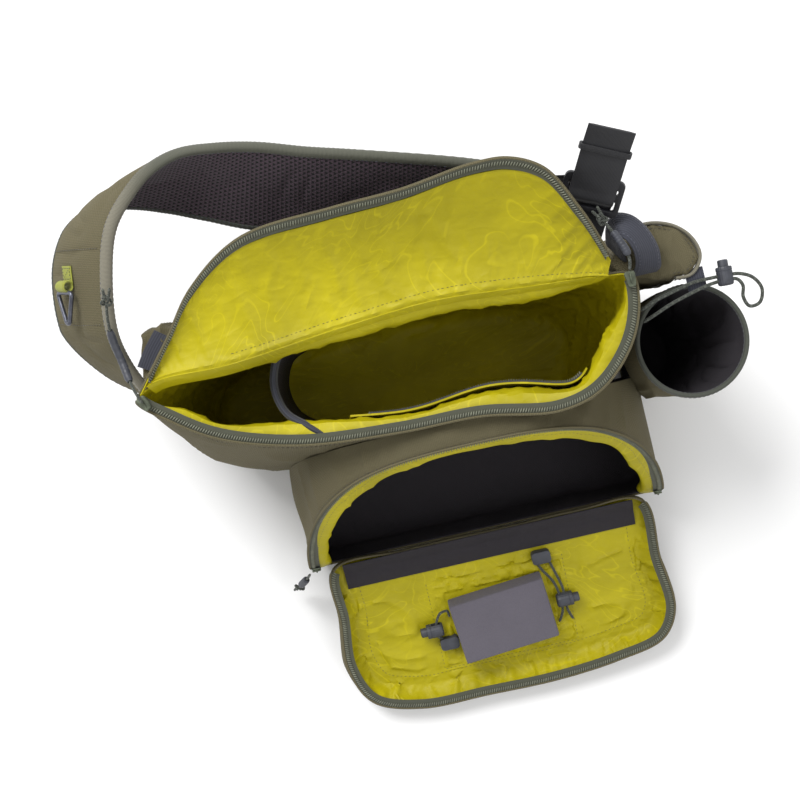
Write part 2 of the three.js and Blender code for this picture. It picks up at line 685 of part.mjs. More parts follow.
// Shoulder strap. Each row is a section: the upper edge as shares of half the mouth's length, of
// the strap's reach behind and of its top, the lean of its width outwards, and its width.
const strapTable = [
  { along: -0.96, behind: 0.12, up: 0.75, leanX: 0.04, leanY: 0.0, wide: 1 },
  { along: -1.024, behind: 0.285, up: 0.765, leanX: -0.36, leanY: 0.02, wide: 1 },
  { along: -1.033, behind: 0.42, up: 0.835, leanX: -0.6, leanY: 0.18, wide: 1 },
  { along: -0.995, behind: 0.615, up: 0.887, leanX: -0.62, leanY: 0.2, wide: 1 },
  { along: -0.925, behind: 0.79, up: 0.932, leanX: -0.58, leanY: 0.15, wide: 1 },
  { along: -0.81, behind: 0.905, up: 0.962, leanX: -0.52, leanY: 0.04, wide: 1 },
  { along: -0.725, behind: 0.96, up: 0.985, leanX: -0.43, leanY: -0.13, wide: 1 },
  { along: -0.61, behind: 0.995, up: 1.0, leanX: -0.37, leanY: -0.32, wide: 1 },
  { along: -0.465, behind: 0.987, up: 1.007, leanX: -0.32, leanY: -0.47, wide: 1 },
  { along: -0.322, behind: 0.963, up: 1.0, leanX: -0.23, leanY: -0.6, wide: 1 },
  { along: -0.137, behind: 0.908, up: 0.985, leanX: -0.18, leanY: -0.61, wide: 1 },
  { along: 0.052, behind: 0.858, up: 0.97, leanX: -0.17, leanY: -0.62, wide: 1 },
  { along: 0.47, behind: 0.738, up: 0.932, leanX: -0.08, leanY: -0.55, wide: 1 },
  { along: 0.66, behind: 0.668, up: 0.895, leanX: -0.03, leanY: -0.4, wide: 0.8 },
  { along: 0.78, behind: 0.61, up: 0.83, leanX: 0.0, leanY: -0.21, wide: 0.5 },
];
const strapCup = 7; // the strap is hollow towards the wearer
const strapEdge = new THREE.CatmullRomCurve3(
  strapTable.map((row) => V((row.along * mouthLength) / 2, row.behind * strapBehind, row.up * strapTop)),
);
const strapLean = new THREE.CatmullRomCurve3(strapTable.map((row) => V(row.leanX, row.leanY, row.wide)));
function strapFrame(u) {
  const lean = strapLean.getPoint(u);
  const down = V(lean.x, lean.y, -Math.sqrt(Math.max(0, 1 - lean.x ** 2 - lean.y ** 2))).normalize();
  const along = strapEdge.getTangent(clamp(u));
  return { down, along, out: along.clone().cross(down).normalize(), width: strapWidth * lean.z };
}
function onStrap(u, v, lift) {
  const { down, out, width } = strapFrame(u);
  return strapEdge
    .getPoint(u)
    .addScaledVector(down, width * v)
    .addScaledVector(out, lift + strapCup * 4 * v * (1 - v) * Math.sin(Math.PI * clamp(1.4 * u)));
}
function addStrap() {
  const around = bodyFilled(gap);
  const us = steps(0, 1, 26);
  const edge = (2 * strapBinding) / strapWidth;
  const inner = edge + (2 * gap) / strapWidth + 0.004;
  const vs = steps(inner, 1 - inner, 2);
  const layer = (low, high, rows) =>
    wall((u, v) => onStrap(u, v, high), (u, v) => onStrap(u, v, low), us, rows);
  add("strap_shell", cut(layer(gap / 2, gap / 2 + strapCloth, vs), around), "olive");
  add("strap_mesh", cut(layer(-gap / 2 - strapMesh, -gap / 2, vs), around), "mesh");
  const proud = 0.4;
  const trim = (rows) => cut(layer(-gap / 2 - strapMesh - proud, gap / 2 + strapCloth + proud, rows), around);
  add("strap_binding_upper", trim([0, edge]), "paleBinding");
  add("strap_binding_lower", trim([1 - edge, 1]), "darkBinding");
  const padLow = gap / 2 + strapCloth - 2;
  const padShape = (high) => (u, v) => {
    const round = Math.sqrt(clamp(8 * Math.min(u, 1 - u))) * Math.sqrt(clamp(5 * Math.min(v, 1 - v)));
    return onStrap(mix(0.735, 0.855, u), mix(inner + 0.03, 0.62, v), padLow + high * (0.3 + 0.7 * round));
  };
  const pad = wall(padShape(0.4), padShape(13), steps(0, 1, 7), steps(0, 1, 3));
  add("strap_tool_pad", cut(pad, layer(-gap, strapCloth + 1.5 * gap, vs)), "olive");
}

// Tab and ring on the outer face of the strap
const tabSeat = { along: 0.205, across: 0.52 };
const tabWidth = 15;
const tabLength = 20;
const loopRadius = 5.2;
const loopHole = 3.1;
const ringWide = 26;
const ringLong = 30;
const ringDepth = 3.4;
function addStrapRing() {
  const { down, along } = strapFrame(tabSeat.along);
  const place = onStrap(tabSeat.along, tabSeat.across, gap / 2 + strapCloth + gap + 0.8);
  const seat = new THREE.Group();
  const towards = along.clone().negate();
  const normal = down.clone().cross(towards).normalize();
  seat.matrixAutoUpdate = false;
  seat.matrix.makeBasis(down, normal.clone().cross(down), normal).setPosition(place);
  group.add(seat);
  const loop = new THREE.Shape().absarc(0, 0, loopRadius, 0, 2 * Math.PI);
  loop.holes.push(new THREE.Path().absarc(0, 0, loopHole, 0, 2 * Math.PI));
  const tube = new THREE.ExtrudeGeometry(loop, { depth: tabWidth, bevelEnabled: false, curveSegments: 6 })
    .rotateY(Math.PI / 2)
    .translate(-tabWidth / 2, loopRadius, loopRadius);
  const strip = block(tabWidth, tabLength, webbingThickness);
  strip.translate(0, 3 - tabLength / 2, webbingThickness / 2);
  add("strap_tab", join(tube, strip), "lime", seat);
  const outer = roundedTriangle(ringWide, ringLong, 5);
  const inner = roundedTriangle(ringWide - 2 * ringWire, ringLong - 2 * ringWire, 3);
  const ring = new THREE.Shape(outer.map(([x, y]) => new THREE.Vector2(x, y)));
  ring.holes.push(new THREE.Path(inner.map(([x, y]) => new THREE.Vector2(x, y + ringWire))));
  const wire = new THREE.ExtrudeGeometry(ring, { depth: ringDepth, bevelEnabled: false });
  wire.translate(0, loopRadius - ringWire / 2, loopRadius - ringDepth / 2);
  add("d_ring", wire, "metal", seat);
}
// A rounded triangle on its base, its tip away from it.
function roundedTriangle(width, height, radius) {
  const corners = [
    [-width / 2 + radius, radius, 180, 270],
    [width / 2 - radius, radius, 270, 375],
    [0, height - radius, 15, 165],
  ];
  return corners.flatMap(([x, y, from, to]) =>
    steps(from, to, 4).map((turn) => {
      const angle = (turn * Math.PI) / 180;
      return [x + radius * Math.cos(angle), y + radius * Math.sin(angle)];
    }),
  );
}

// Adjuster: webbing from the back pad up through a ladder lock, its free tail, a keeper on the
// tail, and the short loop that ties the lock to the end of the strap.
const lockPlace = V(188, 111, 256);
const lockAcross = V(0.9, -0.436, 0).normalize();
const lockSlots = [
  { from: -11, to: -2 },
  { from: 4, to: 9 },
];
const webbingTable = [
  { along: -84, lift: -26 },
  { along: -62, lift: -11 },
  { along: -42, lift: -6 },
  { along: -20, lift: -4.2 },
  { along: -10, lift: -3.8 },
  { along: -6.5, lift: 0 },
  { along: -3, lift: 3.4 },
  { along: 6, lift: 3.4 },
  { along: 24, lift: 4.4 },
  { along: 44, lift: 5 },
  { along: 66, lift: 9 },
];
// The loop that ties the lock to the inner face of the strap's end, as places on the strap
const loopTable = [
  { along: 0.972, across: 0.8, lift: -3.1 },
  { along: 0.975, across: 0.4, lift: -3.1 },
  { along: 0.985, across: -0.08, lift: -2 },
];
const keeperPlace = { along: 44, lift: 5 };
const keeperHeight = 10;
function addAdjuster() {
  const adjuster = new THREE.Group();
  const tail = V(0.31, 0.72, 0.62).addScaledVector(lockAcross, 0.035).normalize();
  const face = lockAcross.clone().cross(tail).normalize();
  adjuster.matrixAutoUpdate = false;
  adjuster.matrix.makeBasis(lockAcross, face.clone().cross(lockAcross), face).setPosition(lockPlace);
  group.add(adjuster);
  adjuster.updateMatrixWorld(true);
  const [wide, long] = [webbingWidth / 2 + 6, lockPlateLength / 2];
  const slot = ({ from, to }) =>
    block(webbingWidth + 3, to - from, 5 * lockPlateThickness).translate(0, (from + to) / 2, 0);
  const outline = roundedRectangle(-wide, -long, wide, long, 5, 2);
  add("ladder_lock", cut(plate(outline, lockPlateThickness), ...lockSlots.map(slot)), "plastic", adjuster);
  const stops = webbingTable.map((row) => ({ at: V(0, row.along, row.lift), side: V(1, 0, 0) }));
  const webbing = band(stops, webbingWidth, webbingThickness, 22).applyMatrix4(adjuster.matrixWorld);
  add("adjuster_webbing", cut(webbing, bodyFilled(gap), backPad(2 * gap)), "blackWebbing");
  const keeper = plate(roundedRectangle(2 - wide, -4, wide - 2, 4, 3, 2), keeperHeight);
  const passage = block(webbingWidth + 1, 4 * keeperHeight, webbingThickness + 1.2);
  const keeperMesh = add("webbing_keeper", cut(keeper, passage), "blackWebbing", adjuster);
  keeperMesh.position.set(0, keeperPlace.along, keeperPlace.lift);
  keeperMesh.rotation.x = 0.1;
  const under = -(lockPlateThickness + webbingThickness) / 2 - gap;
  const hook = V(0, 13, under).applyMatrix4(adjuster.matrixWorld);
  const sewn = loopTable.map(({ along, across, lift }) => ({
    at: onStrap(along, across, lift - strapMesh - webbingThickness),
    side: strapFrame(along).along,
  }));
  const loopStops = [...sewn, { at: hook, side: lockAcross }];
  add("lock_loop", band(loopStops, webbingWidth * 0.8, webbingThickness, 12), "blackWebbing");
}

// Wings at the two ends of the back panel, their top outlines in order round each wing
const rightWingOutline = [
  { x: 205, y: 44 }, { x: 228, y: 37 }, { x: 246, y: 34 }, { x: 263, y: 34 }, { x: 272, y: 46 },
  { x: 268, y: 62 }, { x: 254, y: 75 }, { x: 232, y: 80 }, { x: 216, y: 72 }, { x: 200, y: 58 },
];
const leftWingOutline = [
  { x: -200, y: 44 }, { x: -150, y: 50 }, { x: -150, y: 70 }, { x: -165, y: 80 },
  { x: -182, y: 88 }, { x: -196, y: 86 }, { x: -204, y: 74 }, { x: -206, y: 58 },
];
function wing(outline, foot, shift, crown) {
  const top = loopThrough(outline.map(({ x, y }) => V(x, y, wingHeight)));
  const low = loopThrough(outline.map(({ x, y }) => V(x + shift, mix(y, 52, 0.15), 0)));
  return vessel({
    base: (u) => low.getPoint(u),
    rim: (u) => top.getPoint(u),
    corner: 8,
    bulge: () => 4,
    foot,
    crown,
  });
}
const rightWing = wing(rightWingOutline, 70, -26, 6);
const leftWing = wing(leftWingOutline, 120, 14, 4);
const wingColumns = 18;
const wingRows = [0, floorEnd, (floorEnd + cornerEnd) / 2, cornerEnd, 0.7, 1, 1.6, 2];
const filled = (surface, inset = 0) =>
  lump((u, v) => surface(u, v, inset), steps(0, 1, wingColumns), wingRows);
function addWings() {
  add("right_wing", cut(filled(rightWing), bodyFilled(gap), backPad(2 * gap)), "olive");
  add("left_wing", cut(filled(leftWing), bodyFilled(gap), backPad(2 * gap)), "olive");
  const trim = (inset) => (u, v) => rightWing(mix(4, 13, u) / wingColumns, mix(0.96, 1, v), inset);
  const flat = wall(trim(-gap - 0.1), trim(-gap - 2.4), steps(0, 1, 9), [0, 1]);
  add("right_wing_binding", flat, "paleBinding");
  const webbingTop = wingHeight + 4 + webbingThickness / 2 + 1;
  const stops = [
    { at: V(-200, 54, webbingTop), side: V(0.85, -0.5, 0) },
    { at: V(-192, 66, webbingTop), side: V(0.85, -0.5, 0) },
    { at: V(-180, 80, webbingTop - 1), side: V(0.8, -0.6, 0) },
  ];
  add("left_anchor_webbing", cut(band(stops, 20, webbingThickness, 6), bodyFilled(gap)), "slateWebbing");
}
const handleTable = [
  { x: 205, y: 64, z: 206, side: [-0.5, 0.8, -0.2] },
  { x: 203, y: 75, z: 226, side: [-0.3, 0.9, -0.3] },
  { x: 206, y: 83, z: 238, side: [0.1, 0.9, -0.45] },
  { x: 213, y: 80, z: 242, side: [0.5, 0.75, -0.45] },
  { x: 220, y: 71, z: 241, side: [0.75, 0.5, -0.45] },
  { x: 225, y: 58, z: 235, side: [0.9, 0.15, -0.4] },
  { x: 226, y: 47, z: 224, side: [0.95, 0, -0.3] },
  { x: 225, y: 42, z: 208, side: [1, 0, 0] },
];
function addHandle() {
  const stops = handleTable.map((row) => ({ at: V(row.x, row.y, row.z), side: V(...row.side) }));
  const arch = band(stops, handleWidth, handleThickness, 18, 2);
  add("grab_handle", cut(arch, bodyFilled(gap), backPad(2 * gap), filled(rightWing, -gap)), "slateWebbing");
}

// Bottle pocket on the right end
const circle = (x, y, radius, z) => (u) => {
  const turn = 2 * Math.PI * u;
  return V(x + radius * Math.cos(turn), y + radius * Math.sin(turn), z);
};
const bottleWall = vessel({
  base: circle(bottleX - bottleFootShift, bottleY, bottleRadius - 6, 0),
  rim: circle(bottleX, bottleY, bottleRadius + 2, bottleHeight),
  corner: 12,
  foot: 6,
});
function addBottlePocket() {
  const around = [bodyFilled(gap), filledPocket(-gap, -gap)];
  const rows = [cornerEnd, 0.7, 1];
  add("bottle_pocket", cut(cup(bottleWall, 0, shellCloth + liningCloth, 20, rows), ...around), "olive");
  const trim = (inset) => (u, v) => bottleWall(u, v, inset);
  const ring = wall(trim(-gap), trim(-gap - 1.5), steps(0, 1, 20), [0.96, 1], true);
  add("bottle_pocket_binding", cut(ring, ...around), "darkBinding");
}

// Cords, each along its own chosen points
const bottleCordRoute = [
  [212.6, 11, 213], [225, 16, 212], [245, 21, 208], [262, 24.6, 206], [278, 25, 205], [290, 24.6, 205],
  [302, 23.6, 205], [313, 18, 204], [319, 7, 202], [315, -4, 200], [306, -5, 200], [302, 4, 202],
  [303.5, 13, 204], [299.5, 19.5, 205], [293, 20.6, 205], [278, 20.2, 205], [260, 16.5, 206], [240, 11, 208],
  [224, 5, 210], [212.8, 1, 210],
].map((p) => V(...p));
function cordBar(route, diameter, grow = 0) {
  const length = new THREE.CatmullRomCurve3(route, false, "centripetal").getLength();
  return bar(route, diameter / 2 + grow, 8, Math.round(length / (3 * diameter)));
}
function addBottleCord() {
  const cord = cut(cordBar(bottleCordRoute, bottleCordDiameter), bodyFilled(gap));
  add("bottle_cord", cord, "cord");
  addCordLock("bottle_cord_lock", group, V(290, 24, 205), V(1, -0.05, 0), V(0.05, 1, 0));
  const tab = block(16, 20, 2.2).translate(266, 27, 202);
  const around = cordBar(bottleCordRoute, bottleCordDiameter, gap);
  add("bottle_cord_tab", cut(tab, filled(rightWing, -gap - 3), around), "slateWebbing");
}

// Short elastic cords on the panel, each with a moulded tab and a lock
const cordLift = panelTop + lockDiameter / 2;
const tippetRight = [
  [50, -110, panelTop + 1.6], [53, -104, cordLift - 4], [55.2, -95, cordLift], [55.5, -85, cordLift],
  [52, -66, cordLift - 1], [43, -50, cordLift - 2], [40, -41, cordLift - 2.5], [46, -36.5, cordLift - 2.5],
  [51, -43, cordLift - 2.5], [55, -56, cordLift - 2], [59, -72, cordLift], [59.5, -85, cordLift],
  [59.8, -95, cordLift], [62, -104, cordLift - 4], [64, -110, panelTop + 1.6],
].map((p) => V(...p));
const tippetLeft = [
  [-56, -104, panelTop + 1.6], [-61, -100, cordLift - 3], [-66, -94, cordLift], [-66.5, -87, cordLift],
  [-65, -79, cordLift], [-60, -71, cordLift], [-53, -70, cordLift], [-51.8, -77, cordLift],
].map((p) => V(...p));
function addTippetCords() {
  const route = (points) => cordBar(points, tippetCordDiameter);
  add("tippet_cord_right", route(tippetRight), "cord", panel);
  add("tippet_cord_left", route(tippetLeft), "cord", panel);
  addCordLock("tippet_lock_right", panel, V(59, -85, cordLift), V(0, 1, 0), V(1, 0, 0));
  addCordLock("tippet_lock_left", panel, V(-68, -87, cordLift), V(0, 1, 0), V(-1, 0, 0));
  const grown = (points) => cordBar(points, tippetCordDiameter, gap + 0.1);
  const tabHeight = cordLift - panelTop + 1;
  const tab = (x, y) =>
    plate(roundedRectangle(-9, -6, 9, 6, 3, 2), tabHeight).translate(x, y, panelTop + tabHeight / 2);
  add("tippet_tab_right", cut(tab(45, -38), grown(tippetRight)), "plastic", panel);
  add("tippet_tab_left", cut(tab(-57, -104), grown(tippetLeft)), "plastic", panel);
}

// Zipper sliders and their cord pulls
const slider = (x, y, z) => plate(roundedRectangle(-x / 2, -y / 2, x / 2, y / 2, 2.5, 2), z);
const pullLeft = [
  [-207, 27, 234.6], [-211, 37, 234.6], [-215, 50, 228], [-218, 64, 222.5], [-221, 84, 226],
  [-220, 100, 235], [-217, 114, 241],
].map((p) => V(...p));
const pullRight = [
  [205, 44, 253], [206.5, 52, 255.5], [205, 61, 256.5], [201, 71, 256], [197, 80, 255], [193, 88, 253.5],
].map((p) => V(...p));
const pullPocket = [
  [-117, -156, 74], [-121, -160, 66], [-126, -164, 56], [-130, -167, 44], [-133, -170, 32],
].map((p) => V(...p));
function addPull(name, route) {
  const curve = new THREE.CatmullRomCurve3(route, false, "centripetal");
  add("pull_cord_" + name, bar(route, pullCordDiameter / 2, 8, 10), "cord");
  const hole = pullCordDiameter / 2 + 3 * gap;
  const around = (radius) => (u, v) => {
    const t = mix(0.3, 0.75, v);
    const along = curve.getTangent(t);
    const side = V(along.y, -along.x, 0).normalize();
    const turn = 2 * Math.PI * u;
    return curve
      .getPoint(t)
      .addScaledVector(side, radius * Math.cos(turn))
      .addScaledVector(side.clone().cross(along), radius * Math.sin(turn));
  };
  const grip = wall(around(hole), around(hole + gripWall), steps(0, 1, 8), steps(0, 1, 4), true);
  add("pull_grip_" + name, grip, "plastic");
}
function addSliders() {
  const onRim = (share, lift) => bodyWall(share, 1, 3).add(V(0, 0, 2 * gap + zipThickness + lift));
  const left = slider(9, 13, 4).rotateZ(0.5);
  add("slider_left", left, "metal").position.copy(onRim(leftCorner + 0.02, 4.4));
  const right = slider(9, 13, 4);
  add("slider_right", right, "metal").position.copy(onRim(rightCorner - 0.014, 3.4));
  const low = archPlace(Math.PI * 0.975, 4);
  const high = archPlace(Math.PI * 0.025, 4);
  const proud = tapeClear + zipThickness + gap;
  const lower = slider(9, 12, 4).rotateX(Math.PI / 2);
  add("slider_pocket", lower, "metal").position.set(low.x, low.y - proud, low.z);
  const stop = slider(8, 10, 4).rotateX(Math.PI / 2);
  add("slider_stop", stop, "metal").position.set(high.x, high.y - proud, high.z);
  addPull("left", pullLeft);
  addPull("right", pullRight);
  addPull("pocket", pullPocket);
}

addMainCompartment();
addLid();
addBackPad();
addInside();
addFrontPocket();
addPanel();
addFoam();
addStrap();
addStrapRing();
addAdjuster();
addWings();
addHandle();
addBottlePocket();
addBottleCord();
addTippetCords();
addSliders();
group.updateMatrixWorld(true);

export default group;
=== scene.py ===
import json
import math

import bmesh
import bpy
import numpy as np
from mathutils import Matrix, Vector

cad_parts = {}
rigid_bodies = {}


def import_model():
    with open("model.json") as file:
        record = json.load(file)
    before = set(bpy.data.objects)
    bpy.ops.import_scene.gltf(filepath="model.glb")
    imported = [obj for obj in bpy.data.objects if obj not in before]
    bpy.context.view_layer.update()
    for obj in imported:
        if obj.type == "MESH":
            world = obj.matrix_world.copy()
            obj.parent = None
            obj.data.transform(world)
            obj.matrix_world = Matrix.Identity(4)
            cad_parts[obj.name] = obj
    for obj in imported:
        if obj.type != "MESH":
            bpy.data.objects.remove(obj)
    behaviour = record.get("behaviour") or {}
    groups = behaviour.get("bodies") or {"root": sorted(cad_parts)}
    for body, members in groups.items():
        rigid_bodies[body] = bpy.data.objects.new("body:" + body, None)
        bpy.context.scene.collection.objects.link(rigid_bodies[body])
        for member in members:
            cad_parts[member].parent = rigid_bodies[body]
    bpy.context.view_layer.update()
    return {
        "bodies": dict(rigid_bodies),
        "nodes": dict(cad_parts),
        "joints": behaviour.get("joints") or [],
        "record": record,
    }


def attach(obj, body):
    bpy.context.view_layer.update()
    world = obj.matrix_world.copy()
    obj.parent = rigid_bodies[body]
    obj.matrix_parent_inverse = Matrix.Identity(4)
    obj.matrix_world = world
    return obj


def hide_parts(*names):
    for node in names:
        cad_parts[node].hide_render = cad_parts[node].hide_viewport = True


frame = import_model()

bl_info = {
    "name": "Fishing tackle sling bag",
    "version": (1, 0, 0),
    "blender": (4, 5, 0),
    "location": "3D View > Sidebar > Sling Bag",
    "description": "Dresses the sling bag's solids in cloth, webbing, zippers, cords and moulded parts",
    "category": "Add Mesh",
}

# Sizes in millimetres, as in the part's source
MM = 0.001
GAP = 0.3
SHELL = 1.6
LINING = 1.0
BASE_LENGTH, BASE_DEPTH, BASE_CORNER = 352, 118, 20
MOUTH_LENGTH, MOUTH_SHIFT, RIM_HEIGHT, SWELL = 422, -2, 225, 16
LID_RISE, LID_REACH, LID_SAG = 300, 150, 9
ZIP_WIDTH = 9
POCKET_WIDTH, POCKET_MIDDLE, POCKET_HEIGHT, POCKET_REACH = 334, 52, 200, 154
HINGE_HEIGHT, POCKET_CORNER, ARCH_POWER, FACING = 50, 18, 2.6, 16
PANEL_WIDTH, PANEL_LENGTH, PANEL_DEPTH, PANEL_CORNER = 320, 165, 20, 7
HINGE_SEAT, FLOOR_CLEAR = 1.5, 1
STRAP_WIDTH, STRAP_BEHIND, STRAP_TOP, STRAP_HALF, STRAP_CUP = 95, 218, 266, 4, 7
WEBBING = 1.8
WEBBING_WIDTH = 38
FLOOR_END, CORNER_END = 0.2, 0.4
# Waves in one smooth noise, and how far a stitch sinks into its cloth
WAVES, STITCH_SINK = 14, 0.1
# How far apart a knot's turns lie, and the thickness of its cord
KNOT_SIZE, KNOT_CORD = 1.55, 2.5


# Curves and surfaces --------------------------------------------------------

def mix(a, b, t):
    return a + (b - a) * t


def unit(v):
    return v / np.maximum(np.linalg.norm(v, axis=-1, keepdims=True), 1e-9)


def ease(t):
    t = np.clip(t, 0, 1)
    return t * t * (3 - 2 * t)


def through(rows, share, closed=False):
    """Places at shares, from 0 to 1, of a smooth curve through rows of numbers."""
    p = np.asarray(rows, float)
    n = len(p)
    s = np.asarray(share, float)
    if closed:
        q = (s % 1.0) * n
        i = np.floor(q).astype(int)
        near = [p[(i + k) % n] for k in (-1, 0, 1, 2)]
    else:
        q = np.clip(s, 0, 1) * (n - 1)
        i = np.minimum(np.floor(q).astype(int), n - 2)
        longer = np.vstack([2 * p[0] - p[1], p, 2 * p[-1] - p[-2]])
        near = [longer[i + k] for k in (0, 1, 2, 3)]
    w = (q - i)[..., None]
    d = [np.sum((near[k + 1] - near[k]) ** 2, -1, keepdims=True) ** 0.25 for k in (0, 1, 2)]
    d[1] = np.where(d[1] < 1e-4, 1.0, d[1])
    d[0] = np.where(d[0] < 1e-4, d[1], d[0])
    d[2] = np.where(d[2] < 1e-4, d[1], d[2])
    a, b, c, e = near
    start = ((b - a) / d[0] - (c - a) / (d[0] + d[1]) + (c - b) / d[1]) * d[1]
    end = ((c - b) / d[1] - (e - b) / (d[1] + d[2]) + (e - c) / d[2]) * d[1]
    return b + start * w + (3 * (c - b) - 2 * start - end) * w**2 + (2 * (b - c) + start + end) * w**3


def heading(rows, share):
    e = 1e-3
    s = np.clip(np.asarray(share, float), e, 1 - e)
    return unit(through(rows, s + e) - through(rows, s - e))


def even(points, pitch):
    """The same line with points at an even pitch."""
    step = np.linalg.norm(np.diff(points, axis=0), axis=1)
    run = np.concatenate([[0], np.cumsum(step)])
    count = max(2, int(round(run[-1] / pitch)) + 1)
    at = np.linspace(0, run[-1], count)
    return np.stack([np.interp(at, run, points[:, k]) for k in range(points.shape[1])], 1)


def grid(us, vs):
    return np.meshgrid(np.asarray(us, float), np.asarray(vs, float), indexing="ij")


def normals_of(points):
    """The unit normal at each point of a grid."""
    return unit(np.cross(np.gradient(points, axis=0), np.gradient(points, axis=1)))


def swell_noise(points, size, seed):
    """Smooth noise, about -1 to 1, of a given size in millimetres."""
    rng = np.random.default_rng(seed)
    total = np.zeros(points.shape[:-1])
    for _ in range(WAVES):
        way = unit(rng.normal(size=3)) * (2 * math.pi / size) * rng.uniform(0.5, 1.5)
        total += np.sin(points @ way + rng.uniform(0, 2 * math.pi))
    return total / math.sqrt(WAVES / 2) / 2


def creases(points, size, seed):
    """Folds with a sharp crest and wide hollows, from 0 to 1."""
    return (1 - np.abs(swell_noise(points, size, seed))) ** 3


class Vessel:
    """A cloth vessel: v is its floor to 0.2, its corner to 0.4, its wall to 1 and a crowned top to 2."""

    def __init__(self, base, rim, corner, bulge=None, foot=0.0, crown=0.0):
        self.base, self.rim, self.corner, self.foot, self.crown = base, rim, corner, foot, crown
        self.bulge = bulge or (lambda u: np.zeros(np.shape(u)))
        around = np.arange(1, 17) / 16
        self.base_centre = base(around).mean(0)
        self.rim_centre = rim(around).mean(0)

    def ring(self, u, h):
        low, high = self.base(u), self.rim(u)
        place = mix(low, high, h[..., None])
        place[..., 2] = mix(self.foot + self.corner, high[..., 2], h)
        return place

    def outward(self, u, h):
        along = self.ring(u + 0.004, h) - self.ring(u - 0.004, h)
        return unit(np.stack([along[..., 1], -along[..., 0], np.zeros(u.shape)], -1))

    def on_wall(self, u, h, inset):
        out = self.bulge(u) * np.sin(math.pi * h**0.8) - inset
        return self.ring(u, h) + self.outward(u, h) * out[..., None]

    def place(self, u, v, inset=0.0):
        u, v, inset = (np.array(x) for x in np.broadcast_arrays(*map(lambda x: np.asarray(x, float), (u, v, inset))))
        wall = self.on_wall(u, np.clip((v - CORNER_END) / (1 - CORNER_END), 0, 1), inset)
        angle = np.clip((v - FLOOR_END) / (CORNER_END - FLOOR_END), 0, 1) * math.pi / 2
        none = np.zeros(u.shape)
        turn = -(self.corner - (self.corner - inset) * np.sin(angle))
        low = self.ring(u, none) + self.outward(u, none) * turn[..., None]
        low[..., 2] = self.foot + self.corner - (self.corner - inset) * np.cos(angle)
        share = np.clip(v / FLOOR_END, 0, 1)[..., None]
        low[..., :2] = mix(self.base_centre[:2], low[..., :2], share)
        out = np.where((v >= CORNER_END)[..., None], wall, low)
        over = v > 1
        if over.any():
            near = (2 - v)[..., None]
            top = mix(self.rim_centre, self.on_wall(u, np.ones(u.shape), inset), near)
            top[..., 2] += self.crown * (1 - near[..., 0] ** 2)
            out = np.where(over[..., None], top, out)
        return out


# Meshes ---------------------------------------------------------------------

def run_of(points, axis):
    """Lengths along one way of a grid, in metres, averaged over the other."""
    step = np.linalg.norm(np.diff(points, axis=axis), axis=-1).mean(1 - axis)
    return np.concatenate([[0], np.cumsum(step)]) * MM


def mesh_object(name, points, faces, uvs, merge=False, sharp=40):
    """An object from points in millimetres, quads, and a UV map in metres at each quad's corners."""
    p = points[faces]
    volume = np.einsum("ij,ij->i", p[:, 0], np.cross(p[:, 1], p[:, 2])).sum()
    volume += np.einsum("ij,ij->i", p[:, 0], np.cross(p[:, 2], p[:, 3])).sum()
    if volume < 0:
        faces, uvs = faces[:, ::-1], uvs[:, ::-1]
    mesh = bpy.data.meshes.new(name)
    mesh.from_pydata((points * MM).tolist(), [], faces.tolist())
    layer = mesh.uv_layers.new(name="UVMap")
    layer.data.foreach_set("uv", np.ascontiguousarray(uvs, dtype=np.float32).ravel())
    if merge:
        work = bmesh.new()
        work.from_mesh(mesh)
        bmesh.ops.remove_doubles(work, verts=work.verts, dist=2e-6)
        bmesh.ops.dissolve_degenerate(work, dist=1e-7, edges=work.edges)
        work.to_mesh(mesh)
        work.free()
    mesh.polygons.foreach_set("use_smooth", [True] * len(mesh.polygons))
    mesh.set_sharp_from_angle(angle=math.radians(sharp))
    mesh.update()
    piece = bpy.data.objects.new(name, mesh)
    bpy.context.collection.objects.link(piece)
    return piece


